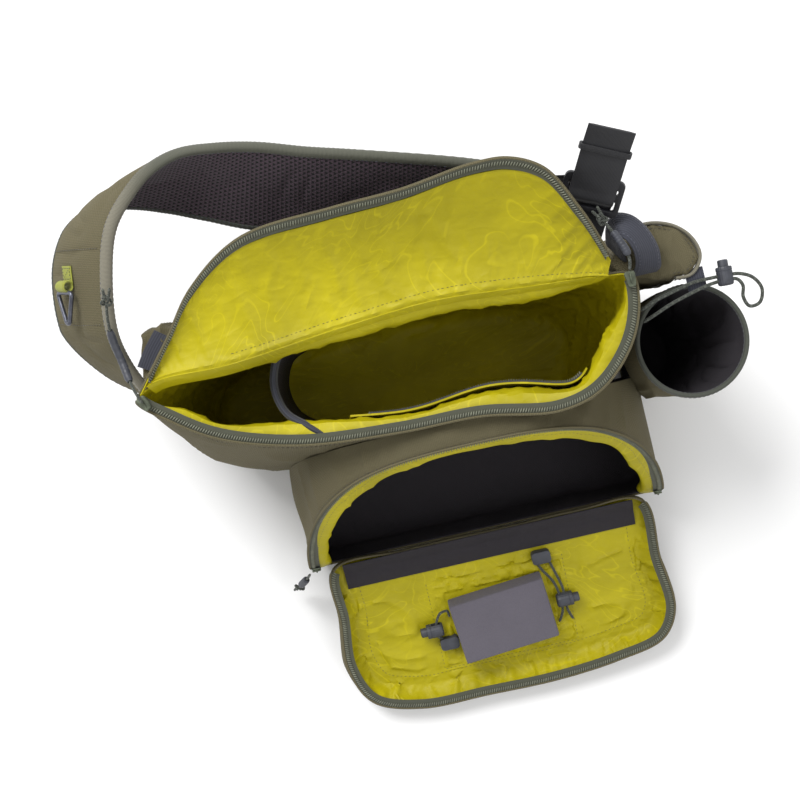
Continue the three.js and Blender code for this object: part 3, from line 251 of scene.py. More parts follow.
def solid(name, face, back, ring=False, merge=False, sharp=40):
    """A closed cloth-like solid between two grids of points. A ring closes on itself along its first way."""
    nu, nv = face.shape[:2]
    points = np.concatenate([face.reshape(-1, 3), back.reshape(-1, 3)])
    wide = face if not ring else np.concatenate([face, face[:1]])
    along, across = run_of(wide, 0), run_of(face, 1)
    thick = float(np.linalg.norm(face - back, axis=-1).mean()) * MM
    cols = nu if ring else nu - 1
    i, j = np.meshgrid(np.arange(cols), np.arange(nv - 1), indexing="ij")
    i, j = i.ravel(), j.ravel()

    def at(side, a, b):
        return side * nu * nv + (a % nu) * nv + b

    def uv(a, b, extra=0.0):
        return np.stack([along[a], across[b] + extra], -1)

    faces = [
        np.stack([at(0, i, j), at(0, i + 1, j), at(0, i + 1, j + 1), at(0, i, j + 1)], -1),
        np.stack([at(1, i, j), at(1, i, j + 1), at(1, i + 1, j + 1), at(1, i + 1, j)], -1),
    ]
    uvs = [
        np.stack([uv(i, j), uv(i + 1, j), uv(i + 1, j + 1), uv(i, j + 1)], 1),
        np.stack([uv(i, j), uv(i, j + 1), uv(i + 1, j + 1), uv(i + 1, j)], 1),
    ]
    e = np.arange(cols)
    low, top = np.zeros(cols, int), np.full(cols, nv - 1)
    faces.append(np.stack([at(0, e, low), at(1, e, low), at(1, e + 1, low), at(0, e + 1, low)], -1))
    uvs.append(np.stack([uv(e, low), uv(e, low, -thick), uv(e + 1, low, -thick), uv(e + 1, low)], 1))
    faces.append(np.stack([at(0, e, top), at(0, e + 1, top), at(1, e + 1, top), at(1, e, top)], -1))
    uvs.append(np.stack([uv(e, top), uv(e + 1, top), uv(e + 1, top, thick), uv(e, top, thick)], 1))
    if not ring:
        r = np.arange(nv - 1)
        for end, order in ((0, (0, 1)), (nu - 1, (1, 0))):
            c = np.full(nv - 1, end)
            a, b = at(order[0], c, r), at(order[0], c, r + 1)
            f, g = at(order[1], c, r + 1), at(order[1], c, r)
            faces.append(np.stack([a, b, f, g], -1))
            uvs.append(np.stack([uv(c, r), uv(c, r + 1), uv(c, r + 1, thick), uv(c, r, thick)], 1))
    return mesh_object(name, points, np.concatenate(faces), np.concatenate(uvs), merge, sharp)


def closed_ring(name, surface, sharp=40):
    """A closed lump from a grid that is a ring along its first way, its first and last rows being points."""
    nu, nv = surface.shape[:2]
    along, across = run_of(np.concatenate([surface, surface[:1]]), 0), run_of(surface, 1)
    i, j = np.meshgrid(np.arange(nu), np.arange(nv - 1), indexing="ij")
    i, j = i.ravel(), j.ravel()
    corner = [(i, j), (i + 1, j), (i + 1, j + 1), (i, j + 1)]
    faces = np.stack([(a % nu) * nv + b for a, b in corner], -1)
    uvs = np.stack([np.stack([along[a], across[b]], -1) for a, b in corner], 1)
    return mesh_object(name, surface.reshape(-1, 3), faces, uvs, True, sharp)


def tube(name, route, radius, sides=12, pitch=1.2):
    """A cord along a route, closed at its ends."""
    line = even(route, pitch)
    ahead = unit(np.gradient(line, axis=0))
    side = np.zeros_like(line)
    side[0] = unit(np.cross(ahead[0], (0.13, 0.31, 0.94)))
    for k in range(1, len(line)):
        side[k] = unit(side[k - 1] - ahead[k] * (side[k - 1] @ ahead[k]))
    other = np.cross(ahead, side)
    turn = np.linspace(0, 2 * math.pi, sides, endpoint=False)
    size = np.full(len(line), float(radius))
    size[0] = size[-1] = 0.02 * radius
    size[1] = size[-2] = 0.8 * radius
    surface = line[None] + side[None] * (np.cos(turn)[:, None] * size)[..., None]
    surface = surface + other[None] * (np.sin(turn)[:, None] * size)[..., None]
    return closed_ring(name, surface, sharp=60)


def revolved(name, profile, place, sides=40, ribs=0, depth=0.0):
    """A solid turned about its own Z from rows of radius and height, set by a matrix."""
    rows = np.asarray(profile, float)
    turn = np.linspace(0, 2 * math.pi, sides, endpoint=False)
    radius = rows[None, :, 0] * (1 - depth * (0.5 + 0.5 * np.cos(ribs * turn))[:, None] * (rows[None, :, 0] > 5))
    surface = np.stack(
        [radius * np.cos(turn)[:, None], radius * np.sin(turn)[:, None], np.broadcast_to(rows[:, 1], radius.shape)], -1
    )
    return closed_ring(name, moved(surface, place), sharp=35)


def moved(points, place):
    m = np.array(place)
    return points @ m[:3, :3].T + m[:3, 3]


def basis(x, y, z, at):
    m = np.eye(4)
    m[:3, 0], m[:3, 1], m[:3, 2], m[:3, 3] = x, y, z, at
    return m


def worked(work, name, place, sharp):
    """The object made of a bmesh, set by a matrix."""
    for v in work.verts:
        v.co = Vector(moved(np.array(v.co), place) * MM)
    bmesh.ops.recalc_face_normals(work, faces=work.faces)
    mesh = bpy.data.meshes.new(name)
    work.to_mesh(mesh)
    work.free()
    mesh.uv_layers.new(name="UVMap")
    mesh.polygons.foreach_set("use_smooth", [True] * len(mesh.polygons))
    mesh.set_sharp_from_angle(angle=math.radians(sharp))
    piece = bpy.data.objects.new(name, mesh)
    bpy.context.collection.objects.link(piece)
    return piece


def block(name, low, high, place=np.eye(4), bevel=0.6, cuts=0):
    """A rounded block between two corners, set by a matrix."""
    work = bmesh.new()
    bmesh.ops.create_cube(work, size=1)
    low, high = np.asarray(low, float), np.asarray(high, float)
    for v in work.verts:
        v.co = Vector(low + (np.array(v.co) + 0.5) * (high - low))
    bmesh.ops.bevel(work, geom=work.edges, offset=bevel, segments=3, profile=0.6, affect="EDGES", clamp_overlap=True)
    if cuts:
        bmesh.ops.subdivide_edges(work, edges=work.edges, cuts=cuts, use_grid_fill=True)
    return worked(work, name, place, 50)


def plate(name, outline, thick, place, holes=(), bevel=0.5):
    """A flat plate from an outline with holes, its edges rounded, set by a matrix."""
    work = bmesh.new()
    loops = [outline, *holes]
    edges = []
    for loop in loops:
        verts = [work.verts.new((x, y, -thick / 2)) for x, y in loop]
        edges += [work.edges.new((verts[k], verts[(k + 1) % len(verts)])) for k in range(len(verts))]
    bmesh.ops.triangle_fill(work, use_beauty=True, use_dissolve=False, edges=edges)
    faces = list(work.faces)
    top = bmesh.ops.extrude_face_region(work, geom=faces)
    for v in [g for g in top["geom"] if isinstance(g, bmesh.types.BMVert)]:
        v.co.z += thick
    bmesh.ops.recalc_face_normals(work, faces=work.faces)
    rims = [e for e in work.edges if len(e.link_faces) == 2 and e.calc_face_angle(0) > 1.2]
    bmesh.ops.bevel(work, geom=rims, offset=bevel, segments=2, profile=0.6, affect="EDGES", clamp_overlap=True)
    return worked(work, name, place, 40)


def rounded_rectangle(wide, long, radius, per_corner=5):
    x, y = wide / 2 - radius, long / 2 - radius
    points = []
    for cx, cy, turn in ((x, y, 0), (-x, y, 1), (-x, -y, 2), (x, -y, 3)):
        for a in np.linspace(0, math.pi / 2, per_corner + 1) + turn * math.pi / 2:
            points.append((cx + radius * math.cos(a), cy + radius * math.sin(a)))
    return points


def band(stops, sides, width, thick, count, across):
    """The two faces of a flat band along stops, each with the direction of its width."""
    u, v = grid(np.linspace(0, 1, count), np.linspace(0, 1, across))
    side = unit(through(unit(np.asarray(sides, float)), u))
    normal = unit(np.cross(heading(stops, u), side))
    middle = through(stops, u) + side * ((v - 0.5) * width)[..., None]
    edge = np.clip(np.minimum(v, 1 - v) * width / 0.8, 0.35, 1)
    half = normal * (edge * thick / 2)[..., None]
    return middle + half, middle - half


def carve(piece, tool, operation="DIFFERENCE"):
    """Cuts a piece with another shape, which is then removed."""
    cutter = piece.modifiers.new("carve", "BOOLEAN")
    cutter.operation, cutter.solver, cutter.object = operation, "EXACT", tool
    graph = bpy.context.evaluated_depsgraph_get()
    mesh = bpy.data.meshes.new_from_object(piece.evaluated_get(graph))
    piece.modifiers.clear()
    piece.data = mesh
    mesh.set_sharp_from_angle(angle=math.radians(40))
    bpy.data.objects.remove(tool)
    return piece


def settle(points, held, growth=0.012, frames=16, reach=4.0, bend=0.3):
    """Cloth cut a little larger than its place buckles into folds. Held points stay where they are."""
    nu, nv = points.shape[:2]
    i, j = np.meshgrid(np.arange(nu - 1), np.arange(nv - 1), indexing="ij")
    i, j = i.ravel(), j.ravel()
    faces = np.stack([i * nv + j, (i + 1) * nv + j, (i + 1) * nv + j + 1, i * nv + j + 1], -1)
    start = points + normals_of(points) * (0.25 * swell_noise(points, 22, 5))[..., None]
    mesh = bpy.data.meshes.new("cloth")
    mesh.from_pydata((start.reshape(-1, 3) * MM).tolist(), [], faces.tolist())
    sheet = bpy.data.objects.new("cloth", mesh)
    bpy.context.collection.objects.link(sheet)
    group = sheet.vertex_groups.new(name="held")
    group.add(np.flatnonzero(held.ravel()).tolist(), 1.0, "REPLACE")
    cloth = sheet.modifiers.new("cloth", "CLOTH")
    fabric = cloth.settings
    fabric.vertex_group_mass = "held"
    fabric.quality = 6
    fabric.mass = 0.2
    fabric.air_damping = 3
    fabric.tension_stiffness = fabric.compression_stiffness = 20
    fabric.shear_stiffness = 8
    fabric.bending_stiffness = bend
    fabric.shrink_min = -growth
    fabric.effector_weights.gravity = 0.15
    cloth.point_cache.frame_start, cloth.point_cache.frame_end = 1, frames
    scene = bpy.context.scene
    for number in range(1, frames + 1):
        scene.frame_set(number)
    graph = bpy.context.evaluated_depsgraph_get()
    settled = sheet.evaluated_get(graph).to_mesh()
    flat = np.empty(nu * nv * 3)
    settled.vertices.foreach_get("co", flat)
    bpy.data.objects.remove(sheet)
    scene.frame_set(1)
    shift = flat.reshape(nu, nv, 3) / MM - points
    far = np.linalg.norm(shift, axis=-1, keepdims=True)
    return points + shift * np.minimum(1, reach / np.maximum(far, 1e-6))


# Materials ------------------------------------------------------------------

def shade(hex_code):
    """A linear colour from a six-digit code."""
    part = [int(hex_code[k:k + 2], 16) / 255 for k in (0, 2, 4)]
    return [c / 12.92 if c <= 0.04045 else ((c + 0.055) / 1.055) ** 2.4 for c in part]


class Finish:
    """A material in the making: its nodes are added one by one."""

    def __init__(self, name, rough, metal=0.0, sheen=0.0):
        self.material = bpy.data.materials.new(name)
        self.material.use_nodes = True
        self.tree = self.material.node_tree
        self.shader = self.tree.nodes["Principled BSDF"]
        self.shader.inputs["Roughness"].default_value = rough
        self.shader.inputs["Metallic"].default_value = metal
        self.shader.inputs["Sheen Weight"].default_value = sheen
        self.where = self.tree.nodes.new("ShaderNodeTexCoord")

    def node(self, kind, inputs=(), **settings):
        made = self.tree.nodes.new(kind)
        for key, value in settings.items():
            setattr(made, key, value)
        for key, value in dict(inputs).items():
            if isinstance(value, bpy.types.NodeSocket):
                self.tree.links.new(value, made.inputs[key])
            else:
                made.inputs[key].default_value = value
        return made

    def math(self, operation, a, b=0.0, clamp=False):
        return self.node("ShaderNodeMath", {0: a, 1: b}, operation=operation, use_clamp=clamp).outputs[0]

    def along(self, spacing, x=1.0, y=0.0, z=0.0, space="UV"):
        """A count that grows by one every spacing metres in a direction of the map or of the object."""
        way = (x / spacing, y / spacing, z / spacing)
        return self.node(
            "ShaderNodeVectorMath", {0: self.where.outputs[space], 1: way}, operation="DOT_PRODUCT"
        ).outputs["Value"]

    def wave(self, count):
        """A smooth wave from 0 to 1, one for each count."""
        turn = self.math("MULTIPLY", count, 2 * math.pi)
        return self.math("ADD", self.math("MULTIPLY", self.math("SINE", turn), 0.5), 0.5)

    def noise(self, size, detail=2.0, space="Object", stretch=(1, 1, 1)):
        """Soft noise whose patches are about size metres wide."""
        place = self.node("ShaderNodeMapping", {"Vector": self.where.outputs[space], "Scale": stretch})
        return self.node(
            "ShaderNodeTexNoise", {"Vector": place.outputs[0], "Scale": 1 / size, "Detail": detail}
        ).outputs["Fac"]

    def ramp(self, value, low, high, a=0.0, b=1.0):
        return self.node("ShaderNodeMapRange", {0: value, 1: low, 2: high, 3: a, 4: b}, clamp=True).outputs[0]

    def colour(self, value, stops):
        """A colour from a value and stops of place and colour."""
        ramp = self.node("ShaderNodeValToRGB", {"Fac": value})
        while len(ramp.color_ramp.elements) < len(stops):
            ramp.color_ramp.elements.new(0.5)
        for element, (at, tone) in zip(ramp.color_ramp.elements, stops):
            element.position, element.color = at, (*tone, 1)
        return ramp.outputs[0]

    def blend(self, share, a, b, kind="MIX"):
        made = self.node("ShaderNodeMix", data_type="RGBA", blend_type=kind)
        for index, value in ((0, share), (6, a), (7, b)):
            if isinstance(value, bpy.types.NodeSocket):
                self.tree.links.new(value, made.inputs[index])
            else:
                made.inputs[index].default_value = value if index == 0 else (*value, 1)
        return made.outputs[2]

    def done(self, colour, height=None, depth=0.0003, roughness=None):
        links = self.tree.links
        links.new(colour, self.shader.inputs["Base Color"])
        if roughness is not None:
            links.new(roughness, self.shader.inputs["Roughness"])
        if height is not None:
            bump = self.node("ShaderNodeBump", {"Height": height, "Distance": depth, "Strength": 1.0})
            links.new(bump.outputs[0], self.shader.inputs["Normal"])
        return self.material


def tones(base, dark=0.8, light=1.2):
    return [[min(1, c * k) for c in base] for k in (dark, 1.0, light)]


def woven(name, base, thread=0.0011, rough=0.85):
    """Plain weave: threads go over and under each other, with uneven yarn and a little wear."""
    f = Finish(name, rough)
    f.shader.inputs["Specular IOR Level"].default_value = 0.25
    u, v = f.along(thread), f.along(thread, 0, 1)
    over = f.math("ABSOLUTE", f.math("SINE", f.math("MULTIPLY", u, math.pi)))
    under = f.math("ABSOLUTE", f.math("SINE", f.math("MULTIPLY", v, math.pi)))
    turn = f.math("ADD", f.math("FLOOR", u), f.math("FLOOR", v))
    odd = f.math("PINGPONG", turn, 1.0)
    weave = f.math("ADD", f.math("MULTIPLY", over, odd), f.math("MULTIPLY", under, f.math("SUBTRACT", 1.0, odd)))
    yarn = f.noise(0.0022, 3.0, "UV", (1, 9, 1))
    cross = f.noise(0.0022, 3.0, "UV", (9, 1, 1))
    patch = f.noise(0.05, 4.0)
    light = f.math("ADD", f.math("MULTIPLY", weave, 0.45), f.math("MULTIPLY", f.math("ADD", yarn, cross), 0.28))
    dark, middle, pale = tones(base, 0.5, 1.55)
    colour = f.colour(light, [(0.1, dark), (0.5, middle), (0.95, pale)])
    colour = f.blend(f.ramp(patch, 0.35, 0.75, 0.0, 0.36), colour, tones(base, 0.7, 1.25)[2])
    height = f.math("ADD", weave, f.math("MULTIPLY", yarn, 0.6))
    return f.done(colour, height, 0.00035)


def coated_lining(name, base):
    """Smooth coated nylon with a fine grain and a tonal motif of ripples, like rings on still water."""
    f = Finish(name, 0.5)
    f.shader.inputs["Specular IOR Level"].default_value = 0.3
    grain = f.math("MULTIPLY", f.wave(f.along(0.0008)), f.wave(f.along(0.0008, 0, 1)))
    drift = f.node(
        "ShaderNodeTexNoise", {"Vector": f.where.outputs["UV"], "Scale": 13.0, "Detail": 2.5, "Distortion": 0.8}
    )
    rings = f.wave(f.math("MULTIPLY", drift.outputs["Fac"], 15.0))
    line = f.ramp(rings, 0.93, 0.995)
    gate = f.ramp(f.noise(0.08, 1.0, "UV"), 0.36, 0.5)
    line = f.math("MULTIPLY", line, gate)
    patch = f.noise(0.06, 4.0)
    dark, middle, pale = tones(base, 0.8, 1.22)
    colour = f.colour(patch, [(0.25, dark), (0.5, middle), (0.8, pale)])
    colour = f.blend(f.math("MULTIPLY", line, 0.45), colour, tones(base, 0.8, 1.4)[2])
    folds = f.noise(0.03, 2.0, stretch=(1, 1.8, 1))
    ridge = f.math("ABSOLUTE", f.math("SUBTRACT", folds, 0.5))
    pucker = f.math("ADD", f.noise(0.02, 1.5), f.math("MULTIPLY", ridge, -2.5))
    height = f.math("ADD", f.math("MULTIPLY", grain, 0.07), pucker)
    return f.done(colour, height, 0.001)


def spacer_mesh(name, base):
    """Open spacer mesh: rows of small holes, painted dark as the shade inside them."""
    f = Finish(name, 0.95, sheen=0.1)
    space = 0.0042
    parts = [f.wave(f.along(space * 0.866, math.cos(a), math.sin(a))) for a in (0, math.pi / 3, -math.pi / 3)]
    cell = f.math("ADD", f.math("ADD", parts[0], parts[1]), parts[2])
    hole = f.ramp(cell, 1.35, 2.1)
    fuzz = f.noise(0.001, 2.0)
    # Painted shade: the holes take the dark tone, 0.22 of the mesh colour, as the shade inside them.
    dark, middle, pale = tones(base, 0.22, 3.0)
    colour = f.colour(f.math("ADD", f.math("SUBTRACT", 1.0, hole), f.math("MULTIPLY", fuzz, 0.15)),
                      [(0.05, dark), (0.6, middle), (1.0, pale)])
    height = f.math("SUBTRACT", f.math("MULTIPLY", fuzz, 0.25), hole)
    return f.done(colour, height, 0.0011)


def ribbed(name, base, rib=0.0019, across=0.0012, rough=0.75, heather=0.25, depth=0.0005, lengthwise=True, shaded=None):
    """Webbing and binding tape: ribs one way and finer threads the other; given a shaded tone, the tape is painted
    darker from x = -0.15 m on, as painted shade.
    """
    f = Finish(name, rough, sheen=0.12)
    main = f.wave(f.along(rib, 0, 1) if lengthwise else f.along(rib))
    fine = f.wave(f.along(across) if lengthwise else f.along(across, 0, 1))
    yarn = f.noise(0.0016, 2.0, "UV", (1, 5, 1) if lengthwise else (5, 1, 1))
    mixed = f.math("ADD", f.math("MULTIPLY", main, 0.5), f.math("MULTIPLY", fine, 0.25))
    dark, middle, pale = tones(base, 0.45, 1.45)
    light = f.math("ADD", mixed, f.math("MULTIPLY", yarn, heather))
    colour = f.colour(light, [(0.05, dark), (0.5, middle), (0.95, pale)])
    # Painted shade: from x = -0.15 m on, the tape takes the darker shaded tone, and its left end keeps the paler lit
    # tone.
    if shaded:
        far = f.colour(light, [(0.05, tones(shaded, 0.45)[0]), (0.5, shaded), (0.95, tones(shaded, 1, 1.45)[2])])
        share = f.ramp(f.along(1.0, 1, 0, 0, "Object"), -0.2, -0.15)
        colour = f.blend(share, colour, far)
    return f.done(colour, f.math("ADD", mixed, f.math("MULTIPLY", yarn, 0.3)), depth)


def moulded(name, base, rough=0.45, grain=0.0012):
    """Moulded plastic with a fine grain and paler, rubbed patches."""
    f = Finish(name, rough)
    fine = f.noise(grain, 3.0)
    rub = f.noise(0.006, 4.0)
    dark, middle, pale = tones(base, 0.8, 1.35)
    colour = f.colour(rub, [(0.3, dark), (0.5, middle), (0.75, pale)])
    return f.done(colour, f.math("MULTIPLY", fine, 1.0), 0.00008, f.ramp(rub, 0.3, 0.7, rough - 0.08, rough + 0.12))


def coated_metal(name, base):
    """Painted metal, rubbed brighter in places."""
    f = Finish(name, 0.35, metal=0.75)
    rub = f.noise(0.004, 5.0)
    dark, middle, pale = tones(base, 0.75, 1.8)
    colour = f.colour(rub, [(0.3, dark), (0.55, middle), (0.8, pale)])
    return f.done(colour, rub, 0.00006, f.ramp(rub, 0.3, 0.7, 0.28, 0.45))


def closed_foam(name, base):
    """Closed-cell foam with fine pores, painted darker as the shade inside them, and a soft bloom."""
    f = Finish(name, 0.9, sheen=0.1)
    pore = f.node("ShaderNodeTexVoronoi", {"Vector": f.where.outputs["Object"], "Scale": 900.0}).outputs["Distance"]
    bloom = f.noise(0.04, 4.0)
    dark, middle, pale = tones(base, 0.93, 1.07)
    colour = f.colour(bloom, [(0.3, dark), (0.5, middle), (0.75, pale)])
    # Painted shade: the pores are blended towards a darker tone, as the shade inside them.
    colour = f.blend(f.ramp(pore, 0.1, 0.35, 0.35, 0.0), colour, tones(base, 0.5)[0])
    return f.done(colour, pore, 0.00035)


def braided(name, base, fleck):
    """Braided cord: crossing strands with a paler fleck."""
    f = Finish(name, 0.8, sheen=0.15)
    one, two = f.wave(f.along(0.0021, 1, 1)), f.wave(f.along(0.0021, 1, -1))
    weave = f.math("MAXIMUM", one, two)
    spot = f.ramp(f.math("MULTIPLY", f.wave(f.along(0.0063, 1, 1)), f.wave(f.along(0.0063, 1, -1))), 0.55, 0.7)
    dark, middle, pale = tones(base, 0.5, 1.3)
    colour = f.colour(weave, [(0.3, dark), (0.7, middle), (1.0, pale)])
    return f.done(f.blend(f.math("MULTIPLY", spot, 0.8), colour, fleck), weave, 0.0005)


def twisted_thread(name, base):
    """Sewing thread with its twist."""
    f = Finish(name, 0.7, sheen=0.2)
    twist = f.wave(f.along(0.0004, 1, 1, 1, "Object"))
    dark, _, pale = tones(base, 0.7, 1.3)
    return f.done(f.colour(twist, [(0.2, dark), (0.8, pale)]), twist, 0.00008)


FINISHES = {
    "olive_cloth": lambda c: woven("olive_cloth", c, thread=0.0015),
    "lime_lining": lambda c: coated_lining("lime_lining", c),
    "zipper_tape": lambda c: ribbed(
        "zipper_tape", c, rib=0.0009, across=0.0006, heather=0.2, depth=0.0002, lengthwise=False
    ),
    "spacer_mesh": lambda c: spacer_mesh("spacer_mesh", c),
    "dark_cloth": lambda c: woven("dark_cloth", c, thread=0.0009, rough=0.8),
    "slate_webbing": lambda c: ribbed("slate_webbing", c, 0.0021, 0.0012, depth=0.0003),
    "ripstop": lambda c: coated_lining("ripstop", c),
    "foam": lambda c: closed_foam("foam", c),
    # Upper strap binding: its paler lit tone, plus a darker tone painted on from x = -0.15 m on as painted shade.
    "pale_binding": lambda c: ribbed(
        "pale_binding", c, 0.0011, 0.0009, heather=0.4, depth=0.0002, shaded=shade("4a4b40")
    ),
    "dark_binding": lambda c: ribbed("dark_binding", c, 0.0011, 0.0009, heather=0.35, depth=0.0002),
    "wing_binding": lambda c: ribbed("wing_binding", c, 0.0011, 0.0009, heather=0.4, depth=0.0002),
    "lime_webbing": lambda c: ribbed("lime_webbing", c, rib=0.0016, across=0.001),
    "black_webbing": lambda c: ribbed("black_webbing", c, 0.0011, 0.0009, rough=0.55, depth=0.00012),
    "black_plastic": lambda c: moulded("black_plastic", c, rough=0.4),
    "grey_plastic": lambda c: moulded("grey_plastic", c, rough=0.5),
    "ring_metal": lambda c: coated_metal("ring_metal", c),
    "slider_metal": lambda c: coated_metal("slider_metal", c),
    "zipper_coil": lambda c: moulded("zipper_coil", c, rough=0.4, grain=0.0006),
    "cord": lambda c: braided("cord", c, shade("5d6158")),
    "olive_thread": lambda c: twisted_thread("olive_thread", c),
    "lime_thread": lambda c: twisted_thread("lime_thread", c),
    "slate_thread": lambda c: twisted_thread("slate_thread", c),
}
COLOURS = {
    "olive_cloth": "5e5842", "lime_lining": "a69b06", "zipper_tape": "46483a", "spacer_mesh": "2a2127",
    "dark_cloth": "343135", "slate_webbing": "2e303b", "ripstop": "a69b06", "foam": "5a565f",
    "pale_binding": "726e60", "wing_binding": "6a6657", "dark_binding": "3a3d35", "lime_webbing": "8b8f2c",
    "black_webbing": "17171b", "black_plastic": "17171b", "grey_plastic": "383a41", "ring_metal": "5a5c66",
    "slider_metal": "5c6253", "zipper_coil": "6b6d5e", "cord": "3b3f38", "olive_thread": "3f3b2e",
    "lime_thread": "6b6614", "slate_thread": "4c4e5a",
}
made = {}


def finish(name):
    if name not in made:
        setting = {"olive_cloth": "outer_colour", "lime_lining": "lining_colour", "spacer_mesh": "mesh_colour",
                   "slate_webbing": "webbing_colour"}.get(name)
        base = list(getattr(bpy.context.scene.sling_bag, setting)) if setting else shade(COLOURS[name])
        made[name] = FINISHES[name](base)
    return made[name]


def dress(piece, look, *nodes, body="bag"):
    """Gives a piece its finish and its body, and hides the nodes it stands for."""
    piece.data.materials.clear()
    piece.data.materials.append(finish(look))
    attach(piece, body)
    if nodes:
        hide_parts(*nodes)
    return piece


# Stitches and teeth ---------------------------------------------------------

def repeat_tree():
    """Sets a small rounded bead on every point, turned by the point's own directions."""
    tree = bpy.data.node_groups.new("beads_on_path", "GeometryNodeTree")
    face = tree.interface
    face.new_socket("Geometry", in_out="INPUT", socket_type="NodeSocketGeometry")
    for label in ("Length", "Width", "Height", "Unevenness"):
        face.new_socket(label, in_out="INPUT", socket_type="NodeSocketFloat")
    face.new_socket("Seed", in_out="INPUT", socket_type="NodeSocketInt")
    face.new_socket("Material", in_out="INPUT", socket_type="NodeSocketMaterial")
    face.new_socket("Geometry", in_out="OUTPUT", socket_type="NodeSocketGeometry")
    new, link = tree.nodes.new, tree.links.new
    start, end = new("NodeGroupInput"), new("NodeGroupOutput")

    def named(label):
        node = new("GeometryNodeInputNamedAttribute")
        node.data_type = "FLOAT_VECTOR"
        node.inputs["Name"].default_value = label
        return node.outputs["Attribute"]

    turn = new("FunctionNodeAxesToRotation")
    turn.primary_axis, turn.secondary_axis = "X", "Z"
    link(named("along"), turn.inputs[0])
    link(named("outward"), turn.inputs[1])
    bead = new("GeometryNodeMeshUVSphere")
    bead.inputs["Radius"].default_value = 0.5
    bead.inputs["Segments"].default_value = 8
    bead.inputs["Rings"].default_value = 4
    size = new("ShaderNodeCombineXYZ")
    uneven = new("FunctionNodeRandomValue")
    spread = new("ShaderNodeMath")
    spread.operation = "SUBTRACT"
    spread.inputs[0].default_value = 1.0
    link(start.outputs["Unevenness"], spread.inputs[1])
    link(spread.outputs[0], uneven.inputs[2])
    uneven.inputs[3].default_value = 1.0
    link(start.outputs["Seed"], uneven.inputs["Seed"])
    longer = new("ShaderNodeMath")
    longer.operation = "MULTIPLY"
    link(start.outputs["Length"], longer.inputs[0])
    link(uneven.outputs[1], longer.inputs[1])
    link(longer.outputs[0], size.inputs[0])
    link(start.outputs["Width"], size.inputs[1])
    link(start.outputs["Height"], size.inputs[2])
    place = new("GeometryNodeInstanceOnPoints")
    link(start.outputs["Geometry"], place.inputs["Points"])
    link(bead.outputs["Mesh"], place.inputs["Instance"])
    link(turn.outputs[0], place.inputs["Rotation"])
    link(size.outputs[0], place.inputs["Scale"])
    real = new("GeometryNodeRealizeInstances")
    link(place.outputs[0], real.inputs[0])
    smooth = new("GeometryNodeSetShadeSmooth")
    link(real.outputs[0], smooth.inputs["Geometry"])
    paint = new("GeometryNodeSetMaterial")
    link(smooth.outputs[0], paint.inputs["Geometry"])
    link(start.outputs["Material"], paint.inputs["Material"])
    link(paint.outputs[0], end.inputs[0])
    return tree


def beads(name, look, places, ways, outs, length, width, height, uneven=0.0, seed=1):
    """One mesh of beads at places, each lying along its way and facing its outward side."""
    mesh = bpy.data.meshes.new(name)
    mesh.from_pydata((places * MM).tolist(), [], [])
    for label, rows in (("along", ways), ("outward", outs)):
        layer = mesh.attributes.new(label, "FLOAT_VECTOR", "POINT")
        layer.data.foreach_set("vector", np.ascontiguousarray(rows, dtype=np.float32).ravel())
    piece = bpy.data.objects.new(name, mesh)
    bpy.context.collection.objects.link(piece)
    tree = bpy.data.node_groups.get("beads_on_path") or repeat_tree()
    nodes = piece.modifiers.new("beads", "NODES")
    nodes.node_group = tree
    given = {"Length": length * MM, "Width": width * MM, "Height": height * MM, "Unevenness": uneven,
             "Seed": seed, "Material": finish(look)}
    for item in tree.interface.items_tree:
        if item.in_out == "INPUT" and item.name in given:
            nodes[item.identifier] = given[item.name]
    graph = bpy.context.evaluated_depsgraph_get()
    real = bpy.data.meshes.new_from_object(piece.evaluated_get(graph))
    piece.modifiers.clear()
    piece.data = real
    for label in ("along", "outward"):
        if label in real.attributes:
            real.attributes.remove(real.attributes[label])
    return piece


def line_frames(line, outs, pitch):
    """Even places on a line, with their directions and outward sides."""
    both = even(np.concatenate([line, np.broadcast_to(outs, line.shape)], 1), pitch)
    places = both[:, :3]
    ahead = unit(np.gradient(places, axis=0))
    up = unit(both[:, 3:] - ahead * np.sum(both[:, 3:] * ahead, -1, keepdims=True))
    return places, ahead, up


def stitches(name, look, lines, length=None, space=None, width=0.75):
    """Rows of sewn stitches, each along a line with its outward sides."""
    length = length or bpy.context.scene.sling_bag.stitch_length / MM
    space = space or bpy.context.scene.sling_bag.stitch_gap / MM
    places, ways, ups = [], [], []
    for line, outs in lines:
        at, ahead, up = line_frames(line, outs, length + space)
        places.append(at - up * STITCH_SINK)
        ways.append(ahead)
        ups.append(up)
    piece = beads(name, look, *map(np.concatenate, (places, ways, ups)), length, width, width * 0.75, 0.15, 7)
    return dress(piece, look)


def coil(name, line, outs):
    """The coil of half a zipper: slanting teeth side by side on its tape."""
    long, wide, high, lift = 4.4, 1.25, 1.8, 0.5
    at, ahead, up = line_frames(line, outs, bpy.context.scene.sling_bag.tooth_spacing / MM)
    side = np.cross(up, ahead)
    slant = unit(side + ahead * 0.35)
    return dress(beads(name, "zipper_coil", at + up * lift, slant, up, long, wide, high), "zipper_coil")


def piping(name, line, radius=1.2):
    """The thin roll of outer cloth along a zipper's edge."""
    return dress(tube(name, line, radius, 10, 1.6), "olive_cloth")


# The bag's own surfaces -----------------------------------------------------

